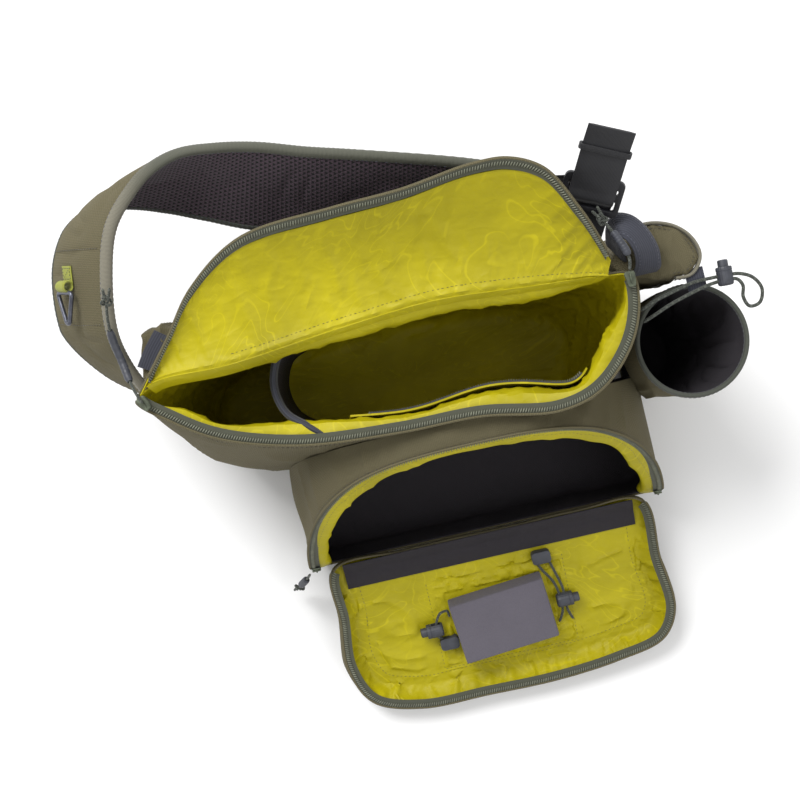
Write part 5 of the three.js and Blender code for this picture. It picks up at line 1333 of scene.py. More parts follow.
def make_panel():
    """The fold-down panel: outer cloth, quilted lime lining, sewn patch, zipper half and grey sleeve."""
    rows = np.concatenate([np.linspace(0, 0.2, 16), np.linspace(0.2, 0.4, 7)[1:], np.linspace(0.4, 1, 9)[1:]])
    u, v = grid(np.linspace(0, 1, 260, endpoint=False), rows)
    sag = 0.5 * swell_noise(panel_wall.place(u, v), 50, 61) * np.clip(v * 3, 0, 1)
    shell = solid("panel_outer_cloth", moved(panel_wall.place(u, v, -sag), PANEL_AT),
                  moved(panel_wall.place(u, v, SHELL - sag), PANEL_AT), ring=True, merge=True)
    dress(shell, "olive_cloth", "panel_shell")
    s, t = grid(np.linspace(0, 1, 170), np.linspace(0, 1, 96))
    inset = 2.4
    left, right = panel_ring(3.2 * t / 15, inset), panel_ring((11 - 2.4 * t) / 15, inset)
    hinge, free = panel_ring((15 - 4 * s) / 15, inset), panel_ring((3.2 + 5.4 * s) / 15, inset)
    corner = [panel_ring(np.array(a / 15), inset) for a in (0, 11, 3.2, 8.6)]
    s3, t3 = s[..., None], t[..., None]
    flat = (1 - t3) * hinge + t3 * free + (1 - s3) * left + s3 * right
    flat = flat - (
        (1 - s3) * (1 - t3) * corner[0] + s3 * (1 - t3) * corner[1] + (1 - s3) * t3 * corner[2] + s3 * t3 * corner[3]
    )
    border = panel_ring(np.linspace(-0.02, 11.3 / 15, 500), inset)
    near = np.empty(s.shape)
    rim_z = np.empty(s.shape)
    for k in range(s.shape[0]):
        gap = np.linalg.norm(flat[k, :, None, :2] - border[None, :, :2], axis=-1)
        near[k] = gap.min(1)
        rim_z[k] = border[gap.argmin(1), 2]
    floor = SHELL + LINING + GAP
    climb = ease(near / 13)
    flat[..., 2] = mix(rim_z - 0.6, floor, climb)
    puff = 2.3 * (1 - np.exp(-(((near - 21) / 5) ** 2))) * ease((near - 12) / 6)
    patch = np.maximum(np.abs(flat[..., 0] + 1) - 66, np.abs(flat[..., 1] + 88) - 45)
    line = np.exp(-((patch / 3.2) ** 2))
    flat[..., 2] += puff * (1 - line) * 0.9
    swell = ease((patch - 6) / 16) * ease((near - 22) / 8) * ease((-flat[..., 1] - 32) / 10)
    flat[..., 2] += swell * (2.6 + 3.8 * (creases(flat * (0.55, 1.2, 1), 50, 64) - 0.35))
    foam = (np.abs(flat[..., 0] + 2) < 50) & (np.abs(flat[..., 1] + 88) < 34)
    held = (near < 1.5) | (np.abs(near - 21) < 1.2) | (np.abs(patch) < 1.4) | foam | (t < 0.03)
    quilt = settle(flat, held, growth=0.07, frames=18, reach=4.5, bend=0.03)
    quilt[..., 2] = np.maximum(quilt[..., 2], floor - 0.2)
    quilt[..., 2] = np.where(foam, np.minimum(quilt[..., 2], PANEL_TOP - 0.2), quilt[..., 2])
    quilt[..., 2] = np.where(quilt[..., 1] > -34, np.minimum(quilt[..., 2], floor + 0.5), quilt[..., 2])
    up = normals_of(quilt)
    up = up * np.sign(up[80, 40, 2])
    dress(
        solid("panel_quilted_lining", moved(quilt, PANEL_AT), moved(quilt - up * LINING, PANEL_AT)), "lime_lining",
        "panel_lining"
    )

    def on_quilt(points):
        flat_points = quilt.reshape(-1, 3)
        flat_up = up.reshape(-1, 3)
        found = [np.argmin(np.sum((flat_points[:, :2] - p) ** 2, 1)) for p in points]
        place = flat_points[found].copy()
        place[:, :2] = points
        return moved(place, PANEL_AT), flat_up[found] @ PANEL_AT[:3, :3].T

    box = even(np.array([(-67.0, -43.0), (-67, -133), (65, -133), (65, -43)]), 3.0)
    span = np.linspace(0.3, 10.6, 260) / 15
    loop = panel_ring(span, inset + 21)[:, :2]
    stitches("panel_stitches", "lime_thread", [on_quilt(box), on_quilt(loop)])
    s, w = grid(np.linspace(0.004, 11 / 15 - 0.004, 320), np.linspace(0, 1, 9))

    def tape(lift):
        place = panel_ring(s, mix(-1.3, ZIP_WIDTH - 2, w))
        place[..., 2] += GAP + lift - 0.8 * w
        return place

    dress(
        solid("panel_zip_tape", moved(tape(0.9), PANEL_AT), moved(tape(-0.3), PANEL_AT)), "zipper_tape",
        "panel_zipper"
    )
    up_row = np.tile(PANEL_AT[:3, 2], (320, 1))
    coil("panel_zip_coil", moved(tape(0.9)[:, 3], PANEL_AT), up_row)
    piping("panel_piping", moved(tape(0.1)[:, 0], PANEL_AT))
    side = panel_wall.place(span, np.full(260, 0.82), -0.1)
    outs = panel_wall.outward(span, np.full(260, 0.5)) @ PANEL_AT[:3, :3].T
    stitches("panel_edge_stitches", "olive_thread", [(moved(side, PANEL_AT), outs)])
    s, w = grid(np.linspace(0, 1, 120), np.linspace(0, 1, 26))
    out = 0.5 + 28 * w
    x = mix(-0.87, 0.87, s) * PANEL_WIDTH / 2
    base = np.stack([x, -out, 0 * x], -1)
    bulge = np.sin(math.pi * w)
    height = floor + GAP + 0.8 + 2.4 * bulge + 1.8 * creases(base * (1, 0.5, 1), 34, 62) * bulge
    height = height + 7.5 * (1 - ease(out / 14))
    base[..., 2] = height
    lower = base - (0, 0, 1.2)
    dress(solid("panel_grey_sleeve", moved(base, PANEL_AT), moved(lower, PANEL_AT)), "dark_cloth", "pocket_sleeve")


def make_foam():
    """The foam fly block: a soft-edged slab with pores."""
    turn = np.array(Matrix.Translation((-2, -0.535 * PANEL_LENGTH, PANEL_TOP + 10)) @ Matrix.Rotation(0.09, 4, "Z"))
    place = PANEL_AT @ turn
    foam = block("fly_foam", (-46, -31, -10), (46, 31, 10), place, bevel=2.2, cuts=3)
    dress(foam, "foam", "foam_block")


def swept(name, section, us, place):
    """A closed bar whose section, rows of two offsets, follows a surface; its ends are closed."""
    section = np.asarray(section, float)
    u = np.asarray(us, float)[None, :]
    surface = place(np.broadcast_to(u, (len(section), u.shape[1])), section[:, :1], section[:, 1:])
    ends = [np.broadcast_to(surface[:, k].mean(0), surface[:, k].shape)[:, None] for k in (0, -1)]
    return closed_ring(name, np.concatenate([ends[0], surface, ends[1]], 1), sharp=60)


def hoop(name, route, radius, sides=12, pitch=0.8):
    """A closed ring of round wire."""
    line = even(np.vstack([route, route[:1]]), pitch)[:-1]
    ahead = unit(np.roll(line, -1, 0) - np.roll(line, 1, 0))
    up = unit(np.linalg.svd(line - line.mean(0))[2][2])
    side = np.cross(ahead, up)
    turn = np.linspace(0, 2 * math.pi, sides, endpoint=False)
    surface = line[:, None] + radius * (
        side[:, None] * np.cos(turn)[None, :, None] + up[None, None] * np.sin(turn)[None, :, None])
    n, m = surface.shape[:2]
    i, j = (a.ravel() for a in np.meshgrid(np.arange(n), np.arange(m), indexing="ij"))
    faces = np.stack([((i + a) % n) * m + (j + b) % m for a, b in ((0, 0), (1, 0), (1, 1), (0, 1))], -1)
    uvs = np.stack(
        [np.stack([(i + a) * pitch, (j + b) * radius * 0.5], -1) * MM for a, b in ((0, 0), (1, 0), (1, 1), (0, 1))], 1
    )
    return mesh_object(name, surface.reshape(-1, 3), faces, uvs, sharp=60)


def webbing_line(name, stops, sides, width, thick, count, place=None, soft=0.0, seed=1):
    """A piece of woven tape along its stops, with soft edges and a little unevenness."""
    face, back = band(stops, sides, width, thick, count, 9)
    out = unit(face - back)
    sway = out * (soft * swell_noise(face, 26, seed))[..., None]
    face, back = face + sway, back + sway
    if place is not None:
        face, back = moved(face, place), moved(back, place)
    piece = solid(name, face, back)
    return piece, face, out if place is None else out @ np.array(place)[:3, :3].T


def fold_section(width, half, nose=4.0, bulge=0.35, count=9):
    """The section of a tape folded round an edge: round at its nose, flat where it is sewn."""
    a = np.linspace(0, math.pi / 2, count)
    top = [(nose * (1 - math.cos(t)), half * math.sin(t)) for t in a]
    top += [(nose + (width - nose) * 0.5, half + bulge), (width - 0.8, half), (width, half - 0.9)]
    return top + [(x, -y) for x, y in top[::-1]]


def make_strap():
    """The shoulder strap: olive outer cloth, mesh lining, bound edges, seams and the padded tool seat."""
    edge = 2 * 3.6 / STRAP_WIDTH
    inner = edge - 0.006
    us = np.linspace(0, 1, 330)

    def layer(low, high, v0, v1, rows, puff, wrinkle, seed, shares=us):
        u, v = grid(shares, np.linspace(v0, v1, rows))
        w = np.clip((v - v0) / (v1 - v0), 0, 1)
        crown = np.sin(math.pi * w) ** 0.55
        plain = on_strap(u, v, 0 * u)
        fold = wrinkle * creases(plain * (1, 1, 0.5), 46, seed) * np.sin(math.pi * w)
        way = np.sign(high)
        return on_strap(u, v, high + way * (puff * crown - fold)), on_strap(u, v, low)

    outer, under = layer(0.15, 4.15, inner, 1 - inner, 26, 1.6, 2.2, 71)
    strap = carve(solid("strap_outer_cloth", outer, under), body_filled(GAP))
    dress(strap, "olive_cloth", "strap_shell")
    mesh, top = layer(-0.15, -4.15, inner, 1 - inner, 26, 1.3, 1.6, 72)
    lining = carve(solid("strap_mesh_lining", mesh, top), body_filled(GAP))
    dress(lining, "spacer_mesh", "strap_mesh")
    section = fold_section(7.4, 4.5)

    def trim(side):
        def place(u, a, b):
            width = strap_frame(u)[3]
            v = a / width if side == 0 else 1 - a / width
            return on_strap(u, v, b + 0 * a + 0.25 * np.sin(u * 900 + a))
        return place

    upper_us = np.linspace(0, 1, 420)
    upper = carve(swept("strap_upper_binding", section, upper_us, trim(0)), body_filled(GAP))
    dress(upper, "pale_binding", "strap_binding_upper")
    lower = carve(swept("strap_lower_binding", section, upper_us, trim(1)), body_filled(GAP))
    dress(lower, "dark_binding", "strap_binding_lower")
    run = np.linspace(0.05, 0.985, 500)
    out, width = strap_frame(run)[2:]
    rows = [
        (on_strap(run, v, facing * 4.75), out * facing) for v in (6.0 / width, 1 - 6.0 / width) for facing in (1, -1)
    ]
    stitches("strap_binding_stitches", "slate_thread", rows)
    cross = []
    for at in (0.155, 0.255):
        v = np.linspace(0.12, 0.88, 60)
        u = np.full(60, at)
        cross.append((on_strap(u, v, 5.4 + 0 * v), strap_frame(u)[2]))
    stitches("strap_cross_stitches", "olive_thread", cross)
    u, v = grid(np.linspace(0, 1, 60), np.linspace(0, 1, 40))
    low = edge + 0.03
    round_off = np.clip(8 * np.minimum(u, 1 - u), 0, 1) ** 0.5 * np.clip(5 * np.minimum(v, 1 - v), 0, 1) ** 0.5
    channel = 1 - 0.3 * np.exp(-(((v - 0.5) / 0.04) ** 2)) * round_off
    share, across = mix(0.735, 0.855, u), mix(low + 0.01, 0.62, v)
    crumple = 0.6 * swell_noise(on_strap(share, across, 0 * u), 22, 73)
    face = on_strap(share, across, 4.6 + 9.5 * round_off * channel + crumple * round_off)
    pad = solid("strap_tool_seat", face, on_strap(share, across, 3.6 + 0 * u))
    dress(pad, "olive_cloth", "strap_tool_pad")
    outs = normals_of(face)
    outs = outs * np.sign(np.sum(outs[30, 20] * strap_frame(np.array([0.8]))[2][0]))
    ring = np.concatenate([face[4:-4, 3], face[-4, 3:-3], face[-5:3:-1, -4], face[3, -4:3:-1]])
    ring_out = np.concatenate([outs[4:-4, 3], outs[-4, 3:-3], outs[-5:3:-1, -4], outs[3, -4:3:-1]])
    stitches("tool_seat_stitches", "olive_thread", [(ring, ring_out), (face[5:-5, 20], outs[5:-5, 20])])


def strap_seat():
    """Where the ring's tab is sewn on the strap."""
    at = np.array([0.205])
    down, along, _, _ = strap_frame(at)
    place = on_strap(at, 0.52, 0.15 + 4 + GAP + 0.8)[0]
    towards = -along[0]
    normal = unit(np.cross(down[0], towards))
    return basis(down[0], np.cross(normal, down[0]), normal, place)


def make_strap_ring():
    """The lime tab on the strap and its dark ring."""
    seat = strap_seat()
    turn = np.linspace(-math.pi / 2, 1.45 * math.pi, 22)
    around = np.stack([0 * turn, 4.2 * np.cos(turn), 5.2 + 4.2 * np.sin(turn)], 1)
    strip = [(0, -17, 0.9), (0, -10, 0.9), (0, -4, 0.95)]
    stops = np.vstack([strip, around])
    tab, _, _ = webbing_line("strap_ring_tab", stops, np.tile((1.0, 0, 0), (len(stops), 1)),
                                  15, 1.7, 120, place=seat)
    dress(tab, "lime_webbing", "strap_tab")
    sewn = moved(
        np.array([
            (-5.5, -15, 1.9), (5.5, -15, 1.9), (5.5, -6, 1.9), (-5.5, -6, 1.9), (-5.5, -15, 1.9), (5.5, -6, 1.9),
        ]),
        seat
    )
    sewn = even(sewn, 0.8)
    stitches("tab_stitches", "olive_thread", [(sewn, np.tile(seat[:3, 2], (len(sewn), 1)))], 2.0, 0.8)
    corners = [(-13 + 5, 5, 180, 270), (13 - 5, 5, 270, 375), (0, 30 - 5, 15, 165)]
    wire = 1.9
    line = []
    for x, y, start, stop in corners:
        for angle in np.radians(np.linspace(start, stop, 9)):
            line.append((x + (5 - wire) * math.cos(angle), y + (5 - wire) * math.sin(angle) + 5.2 - 2, 5.2))
    ring = hoop("strap_ring", moved(np.array(line), seat), wire)
    dress(ring, "ring_metal", "d_ring")


def lock_frame():
    across = unit(np.array((0.9, -0.436, 0)))
    tail = unit(np.array((0.31, 0.72, 0.62)) + across * 0.035)
    face = unit(np.cross(across, tail))
    return basis(across, np.cross(face, across), face, (188, 111, 256))


WEB = np.array([(-84, -26), (-62, -11), (-42, -6), (-20, -4.2), (-10, -3.8), (-6.5, 0), (-3, 3.4), (6, 3.4),
                (24, 4.4), (44, 5), (66, 9)])


def make_adjuster():
    """Black webbing through its ladder lock, with the tail's keeper and the loop that ties the lock to the strap."""
    at = lock_frame()
    holes = []
    for low, high in ((-11, -2), (4, 9)):
        slot = np.array(rounded_rectangle(41, high - low, 1.6, 3))
        holes.append((slot + (0, (low + high) / 2))[::-1])
    lock = plate("adjuster_lock", rounded_rectangle(50, 34, 5), 4, at, holes, bevel=1.1)
    dress(lock, "black_plastic", "ladder_lock")
    stops = np.stack([0 * WEB[:, 0], WEB[:, 0], WEB[:, 1]], 1)
    sides = np.tile((1.0, 0, 0), (len(WEB), 1))
    tape, face, out = webbing_line("adjuster_tape", stops, sides, WEBBING_WIDTH, WEBBING, 260, place=at,
                                   soft=0.35, seed=81)
    dress(carve(tape, body_filled(GAP)), "black_webbing", "adjuster_webbing")
    hem = []
    for row in (-5, -14):
        hem.append((face[row, 1:-1], out[row, 1:-1]))
    stitches("adjuster_stitches", "slate_thread", hem, 2.4, 0.9)
    turned = at @ np.array(
        Matrix.Translation((0, 44, 5)) @ Matrix.Rotation(0.1, 4, "X") @ Matrix.Rotation(math.pi / 2, 4, "X")
    )
    keeper = plate("tail_keeper", rounded_rectangle(43, 5.2, 2.2), 5, turned,
                   [rounded_rectangle(39.4, 2.6, 1.1)[::-1]], bevel=0.5)
    dress(keeper, "black_webbing", "webbing_keeper")
    loops = ((0.972, 0.8, -3.1), (0.975, 0.4, -3.1), (0.985, -0.08, -2))
    stops = [on_strap(np.array([a]), b, c - STRAP_HALF - WEBBING)[0] for a, b, c in loops]
    sides = [strap_frame(np.array([a]))[1][0] for a, _, _ in loops]
    under = -(4 + WEBBING) / 2 - GAP
    stops.append(moved(np.array([(0, 13, under)]), at)[0])
    sides.append(at[:3, 0])
    loop, _, _ = webbing_line("lock_tie", np.array(stops), np.array(sides), WEBBING_WIDTH * 0.8, WEBBING, 70)
    dress(loop, "black_webbing", "lock_loop")


def wing_vessel(outline, foot, shift, crown):
    flat = np.array(outline, float)
    top = np.concatenate([flat, np.full((len(flat), 1), 205.0)], 1)
    low = np.stack([flat[:, 0] + shift, mix(flat[:, 1], 52, 0.15), 0 * flat[:, 0]], 1)
    return Vessel(lambda u: through(low, u, True), lambda u: through(top, u, True), 8,
                  lambda u: np.full(np.shape(u), 4.0), foot, crown)


RIGHT_WING = (
    (205, 44), (228, 37), (246, 34), (263, 34), (272, 46), (268, 62), (254, 75), (232, 80), (216, 72), (200, 58)
)
LEFT_WING = ((-200, 44), (-150, 50), (-150, 70), (-165, 80), (-182, 88), (-196, 86), (-204, 74), (-206, 58))
right_wing = wing_vessel(RIGHT_WING, 70, -26, 6)
left_wing = wing_vessel(LEFT_WING, 120, 14, 4)


def make_wings():
    """The cloth wings at both ends of the back panel, the right one bound, the left one over its webbing."""
    rows = np.concatenate([np.linspace(0, 0.2, 6), np.linspace(0.2, 0.4, 6)[1:], np.linspace(0.4, 1, 40)[1:],
                           np.linspace(1, 2, 24)[1:]])
    for name, vessel, node, seed, deep in (("right_wing_cloth", right_wing, "right_wing", 91, 2.2),
                                           ("left_wing_cloth", left_wing, "left_wing", 92, 4.2)):
        u, v = grid(np.linspace(0, 1, 180, endpoint=False), rows)
        plain = vessel.place(u, v)
        fold = deep * (creases(plain * (1.2, 0.5, 0.5), 30, seed) - 0.3)
        fold = fold * np.clip((v - 0.3) * 4, 0, 1)
        face = vessel.place(u, v, -fold * np.clip((1.15 - v) * 6, 0, 1))
        face[..., 2] += np.where(v > 0.98, fold * np.clip((v - 0.98) * 8, 0, 1) * np.clip((2.0 - v) * 3, 0.2, 1), 0)
        round_edge = np.clip((v - 1.0) / 0.12, 0, 1)
        face[..., 2] -= np.where((v >= 1) & (v < 1.12), 1.5 * (1 - round_edge) ** 2, 0)
        wing = carve(closed_ring(name, face), body_filled(GAP))
        dress(wing, "olive_cloth", node)
    section = fold_section(9.5, 1.4, nose=1.6, bulge=0.15, count=5)

    def edge(u, a, b):
        out = right_wing.outward(u, np.ones(u.shape))
        place = right_wing.place(u, np.ones(u.shape)) + out * (1.8 + b)[..., None]
        place[..., 2] += 1.2 - a
        return place

    span = np.linspace(4 / 18, 13 / 18, 160)
    dress(swept("right_wing_bound_edge", section, span, edge), "wing_binding", "right_wing_binding")
    out = right_wing.outward(span, np.ones(160))
    line = right_wing.place(span, np.full(160, 1.0)) + out * 3.6
    line[:, 2] -= 6.4
    stitches("right_wing_stitches", "olive_thread", [(line, out)])
    top = right_wing.place(span, np.full(160, 1.12))
    stitches("right_wing_top_stitches", "olive_thread", [(top + (0, 0, 0.6), np.tile((0, 0, 1.0), (160, 1)))])
    high = 205 + 4 + WEBBING / 2 + 1
    stops = np.array([(-200, 54, high), (-192, 66, high), (-180, 80, high - 1)], float)
    sides = np.array([(0.85, -0.5, 0), (0.85, -0.5, 0), (0.8, -0.6, 0)], float)
    tape, _, _ = webbing_line("left_wing_webbing", stops, sides, 20, WEBBING, 60, soft=0.3, seed=93)
    dress(carve(tape, body_filled(GAP)), "slate_webbing", "left_anchor_webbing")


HANDLE = np.array([
    (205, 64, 206, -0.5, 0.8, -0.2), (203, 75, 226, -0.3, 0.9, -0.3), (206, 83, 238, 0.1, 0.9, -0.45),
    (213, 80, 242, 0.5, 0.75, -0.45), (220, 71, 241, 0.75, 0.5, -0.45), (225, 58, 235, 0.9, 0.15, -0.4),
    (226, 47, 224, 0.95, 0, -0.3), (225, 42, 208, 1, 0, 0),
])


def make_handle():
    """The ribbed grab handle that arches over the right end."""
    piece, face, out = webbing_line("grab_handle_webbing", HANDLE[:, :3], HANDLE[:, 3:], 24, 4, 150,
                                    soft=0.2, seed=94)
    dress(carve(piece, body_filled(GAP)), "slate_webbing", "grab_handle")
    stitches(
        "handle_stitches", "slate_thread", [(face[14:-14, 1], out[14:-14, 1]), (face[14:-14, -2], out[14:-14, -2])]
    )


def make_bottle_pocket():
    """The open bottle pocket with its dark lining and bound rim."""
    centre, across = (224, -23), 40

    def ring_of(radius, x):
        return lambda u: np.stack(
            [x + radius * np.cos(2 * math.pi * u), centre[1] + radius * np.sin(2 * math.pi * u), 0 * u], -1
        )

    rim = lambda u: ring_of(48, 254)(u) + (0, 0, 192.0)
    vessel = Vessel(ring_of(across, centre[0]), rim, 12, foot=6)
    rows = np.concatenate([np.linspace(0, 0.2, 7), np.linspace(0.2, 0.4, 9)[1:], np.linspace(0.4, 1, 60)[1:]])
    u, v = grid(np.linspace(0, 1, 220, endpoint=False), rows)
    plain = vessel.place(u, v)
    h = np.clip((v - 0.4) / 0.6, 0, 1)
    fold = (1.8 * swell_noise(plain * (1, 1, 0.5), 46, 95) + 3.0 * (creases(plain * (1, 1, 0.4), 34, 96) - 0.35))
    fold = fold * np.sin(math.pi * np.clip(h, 0, 1)) ** 0.8
    outline = pocket_outline(-GAP, 60, 5)
    deep = [np.array((POCKET_MIDDLE, y, 90.0)) for y in (-175, -20)]

    def pocket_tool():
        loop = np.stack([outline[:, 0], 0 * outline[:, 0], outline[:, 1]], 1)
        columns = [
            np.broadcast_to(deep[0], loop.shape), loop + (0, -175, 0), loop + (0, -20, 0),
            np.broadcast_to(deep[1], loop.shape)
        ]
        return closed_ring("pocket_filled", np.stack(columns, 1))

    for name, look, near, far in (
        ("bottle_pocket_cloth", "olive_cloth", 0.0, SHELL), ("bottle_pocket_inside", "dark_cloth", SHELL, SHELL + 0.9)
    ):
        wall = solid(name, vessel.place(u, v, near - fold), vessel.place(u, v, far - fold), ring=True, merge=True)
        carve(carve(wall, body_filled(GAP)), pocket_tool())
        dress(wall, look, "bottle_pocket")
    section = fold_section(6.0, 2.0, nose=1.9, bulge=0.15, count=5)

    def edge(u, a, b):
        out = vessel.outward(u, np.ones(u.shape))
        place = vessel.place(u, np.ones(u.shape)) + out * (b - 1.3)[..., None]
        place[..., 2] += 1.0 - a
        return place

    trim = swept("bottle_pocket_bound_edge", section, np.linspace(0, 1, 240), edge)
    carve(carve(trim, body_filled(GAP)), pocket_tool())
    dress(trim, "dark_binding", "bottle_pocket_binding")
    span = np.linspace(-0.42, 0.45, 260)
    out = vessel.outward(span, np.ones(260))
    line = vessel.place(span, np.ones(260)) + out * 1.0
    line[:, 2] -= 3.6
    inside = vessel.place(span, np.ones(260)) - out * 3.5
    inside[:, 2] -= 3.6
    stitches("bottle_pocket_stitches", "slate_thread", [(line, out), (inside, -out)])


# Cords, locks, sliders ------------------------------------------------------

BOTTLE_ROUTE = [
    (212.6, 11, 213), (225, 16, 212), (245, 21, 208), (262, 24.6, 206), (278, 25, 205), (290, 24.6, 205),
    (302, 23.6, 205), (313, 18, 204), (319, 7, 202), (315, -4, 200), (306, -5, 200), (302, 4, 202),
    (303.5, 13, 204), (299.5, 19.5, 205), (293, 20.6, 205), (278, 20.2, 205), (260, 16.5, 206), (240, 11, 208),
    (224, 5, 210), (212.8, 1, 210),
]
CORD_LIFT = PANEL_TOP + 7
RIGHT_ROUTE = [
    (50, -110, PANEL_TOP + 1.6), (53, -104, CORD_LIFT - 4), (55.2, -95, CORD_LIFT), (55.5, -85, CORD_LIFT),
    (52, -66, CORD_LIFT - 1), (43, -50, CORD_LIFT - 2), (40, -41, CORD_LIFT - 2.5), (46, -36.5, CORD_LIFT - 2.5),
    (51, -43, CORD_LIFT - 2.5), (55, -56, CORD_LIFT - 2), (59, -72, CORD_LIFT), (59.5, -85, CORD_LIFT),
    (59.8, -95, CORD_LIFT), (62, -104, CORD_LIFT - 4), (64, -110, PANEL_TOP + 1.6),
]
LEFT_ROUTE = [
    (-56, -104, PANEL_TOP + 1.6), (-61, -100, CORD_LIFT - 3), (-66, -94, CORD_LIFT), (-66.5, -87, CORD_LIFT),
    (-65, -79, CORD_LIFT), (-60, -71, CORD_LIFT), (-53, -70, CORD_LIFT), (-51.8, -77, CORD_LIFT),
]
PULLS = {
    "left": [(-207, 27, 234.6), (-211, 37, 234.6), (-215, 50, 228), (-218, 64, 222.5), (-221, 84, 226),
             (-220, 100, 235), (-217, 114, 241)],
    "right": [(205, 44, 253), (206.5, 52, 255.5), (205, 61, 256.5), (201, 71, 256), (197, 80, 255), (193, 88, 253.5)],
    "pocket": [(-117, -156, 74), (-121, -160, 66), (-126, -164, 56), (-130, -167, 44), (-133, -170, 32)],
}


def free_cord(name, route, diameter, node, place=None):
    """A braided cord along its route."""
    stops = np.array(route, float)
    if place is not None:
        stops = moved(stops, place)
    line = through(stops, np.linspace(0, 1, 40 * len(stops)))
    cord = tube(name, line, diameter / 2, sides=14, pitch=0.5 * diameter)
    dress(cord, "cord", node)
    return cord


def knot(name, at, ahead):
    """A small overhand knot with two cut ends."""
    ahead = unit(np.array(ahead, float))
    side = unit(np.cross(ahead, (0.2, 0.1, 1)))
    up = np.cross(side, ahead)
    t = np.linspace(0, 2 * math.pi, 90)
    loop = np.stack([np.sin(t) + 2 * np.sin(2 * t), np.cos(t) - 2 * np.cos(2 * t), -np.sin(3 * t)], 1) * KNOT_SIZE
    start = [
        np.array((-0.9, -2.5, 0)) * KNOT_SIZE * 1.2 + (0, -5, 0),
        np.array((0.9, -2.5, 0.6)) * KNOT_SIZE * 1.2 + (1.5, -5.5, 0),
    ]
    frame = np.stack([side, -ahead, up])
    whole = hoop(name, np.array(at) + loop[:-1] @ frame, KNOT_CORD / 2, 10, 0.9)
    tails = []
    for k, tip in enumerate(start):
        line = np.array([(tip[0] * 0.4, -1.5, 0), (tip[0] * 0.8, -4.5, 0.4), tip * 1.15])
        line = through(line, np.linspace(0, 1, 20))
        tails.append(dress(tube(f"{name}_end_{k + 1}", np.array(at) + line @ frame, KNOT_CORD / 2, 10, 0.9), "cord"))
    return [dress(whole, "cord"), *tails]


def make_cords():
    """The bottle cord, the two panel cords and the three zipper pulls' cords."""
    free_cord("bottle_loop_cord", BOTTLE_ROUTE, 3.0, "bottle_cord")
    free_cord("panel_cord_right", RIGHT_ROUTE, 2.5, "tippet_cord_right", place=PANEL_AT)
    free_cord("panel_cord_left", LEFT_ROUTE, 2.5, "tippet_cord_left", place=PANEL_AT)
    for label, route in PULLS.items():
        stops = np.array(route, float)
        ahead = unit(stops[-1] - stops[-2])
        ends = knot(f"pull_{label}_knot", stops[-1] + ahead * 1.5, ahead)
        free_cord(f"pull_{label}_cord", route, 2.5, f"pull_cord_{label}")
        u, v = grid(np.linspace(0, 1, 28, endpoint=False), np.linspace(0, 1, 40))
        t = mix(0.3, 0.75, v)
        along = heading(stops, t)
        side = unit(np.stack([along[..., 1], -along[..., 0], 0 * t], -1))
        up = np.cross(side, along)
        turn = 2 * math.pi * u
        taper = 1 - 0.3 * np.exp(-((np.minimum(v, 1 - v) / 0.05) ** 2))
        ribs = 0.16 * np.sin(math.pi * v * 18) * (np.abs(v - 0.5) < 0.36)

        def sleeve(radius):
            reach = side * (radius * np.cos(turn))[..., None]
            return through(stops, t) + reach + up * (radius * np.sin(turn))[..., None]

        grip = solid(f"pull_{label}_sleeve", sleeve((3.35 + ribs) * taper), sleeve(2.05 + 0 * v), ring=True, sharp=50)
        dress(grip, "grey_plastic", f"pull_grip_{label}")


def make_lock(name, node, look, at, forward, upward, body, place=None):
    """A round cord lock: ribbed barrel with its cord window, and a sprung button."""
    z = unit(np.array(upward, float))
    y = unit(np.cross(z, forward))
    frame_of = basis(np.cross(y, z), y, z, at)
    if place is not None:
        frame_of = place @ frame_of
    outside = [(0, 3.4), (4.9, 3.4), (4.9, 7.3), (5.3, 7.85), (5.9, 8), (6.6, 7.8), (7.0, 7.1), (7.0, 4.6), (6.7, 4.3),
               (6.7, 3.9), (7.0, 3.6), (7.0, -4.6), (6.8, -6.2), (6.2, -7.3), (5.0, -7.9), (3.0, -8), (0, -8)]
    dense = []
    for (r0, z0), (r1, z1) in zip(outside, outside[1:]):
        steps = max(1, int(math.hypot(r1 - r0, z1 - z0) / 1.1))
        dense += [(mix(r0, r1, k / steps), mix(z0, z1, k / steps)) for k in range(steps)]
    dense.append(outside[-1])
    barrel = revolved(name, dense, frame_of, 60, ribs=20, depth=0.05)
    window = block("window", (-14, -2.4, -5.8), (14, 2.4, 2.6), frame_of, bevel=0.8)
    dress(carve(barrel, window), look, node)
    stem = [
        (0, 6.7), (4.5, 6.7), (4.5, 12.6), (4.35, 13.3), (3.9, 13.8), (3.2, 14.0), (2.4, 13.75), (1.2, 13.7),
        (0, 13.7)
    ]
    button = revolved(f"{name}_push", stem, frame_of, 40)
    dress(button, look, f"{node}_button", body=body)


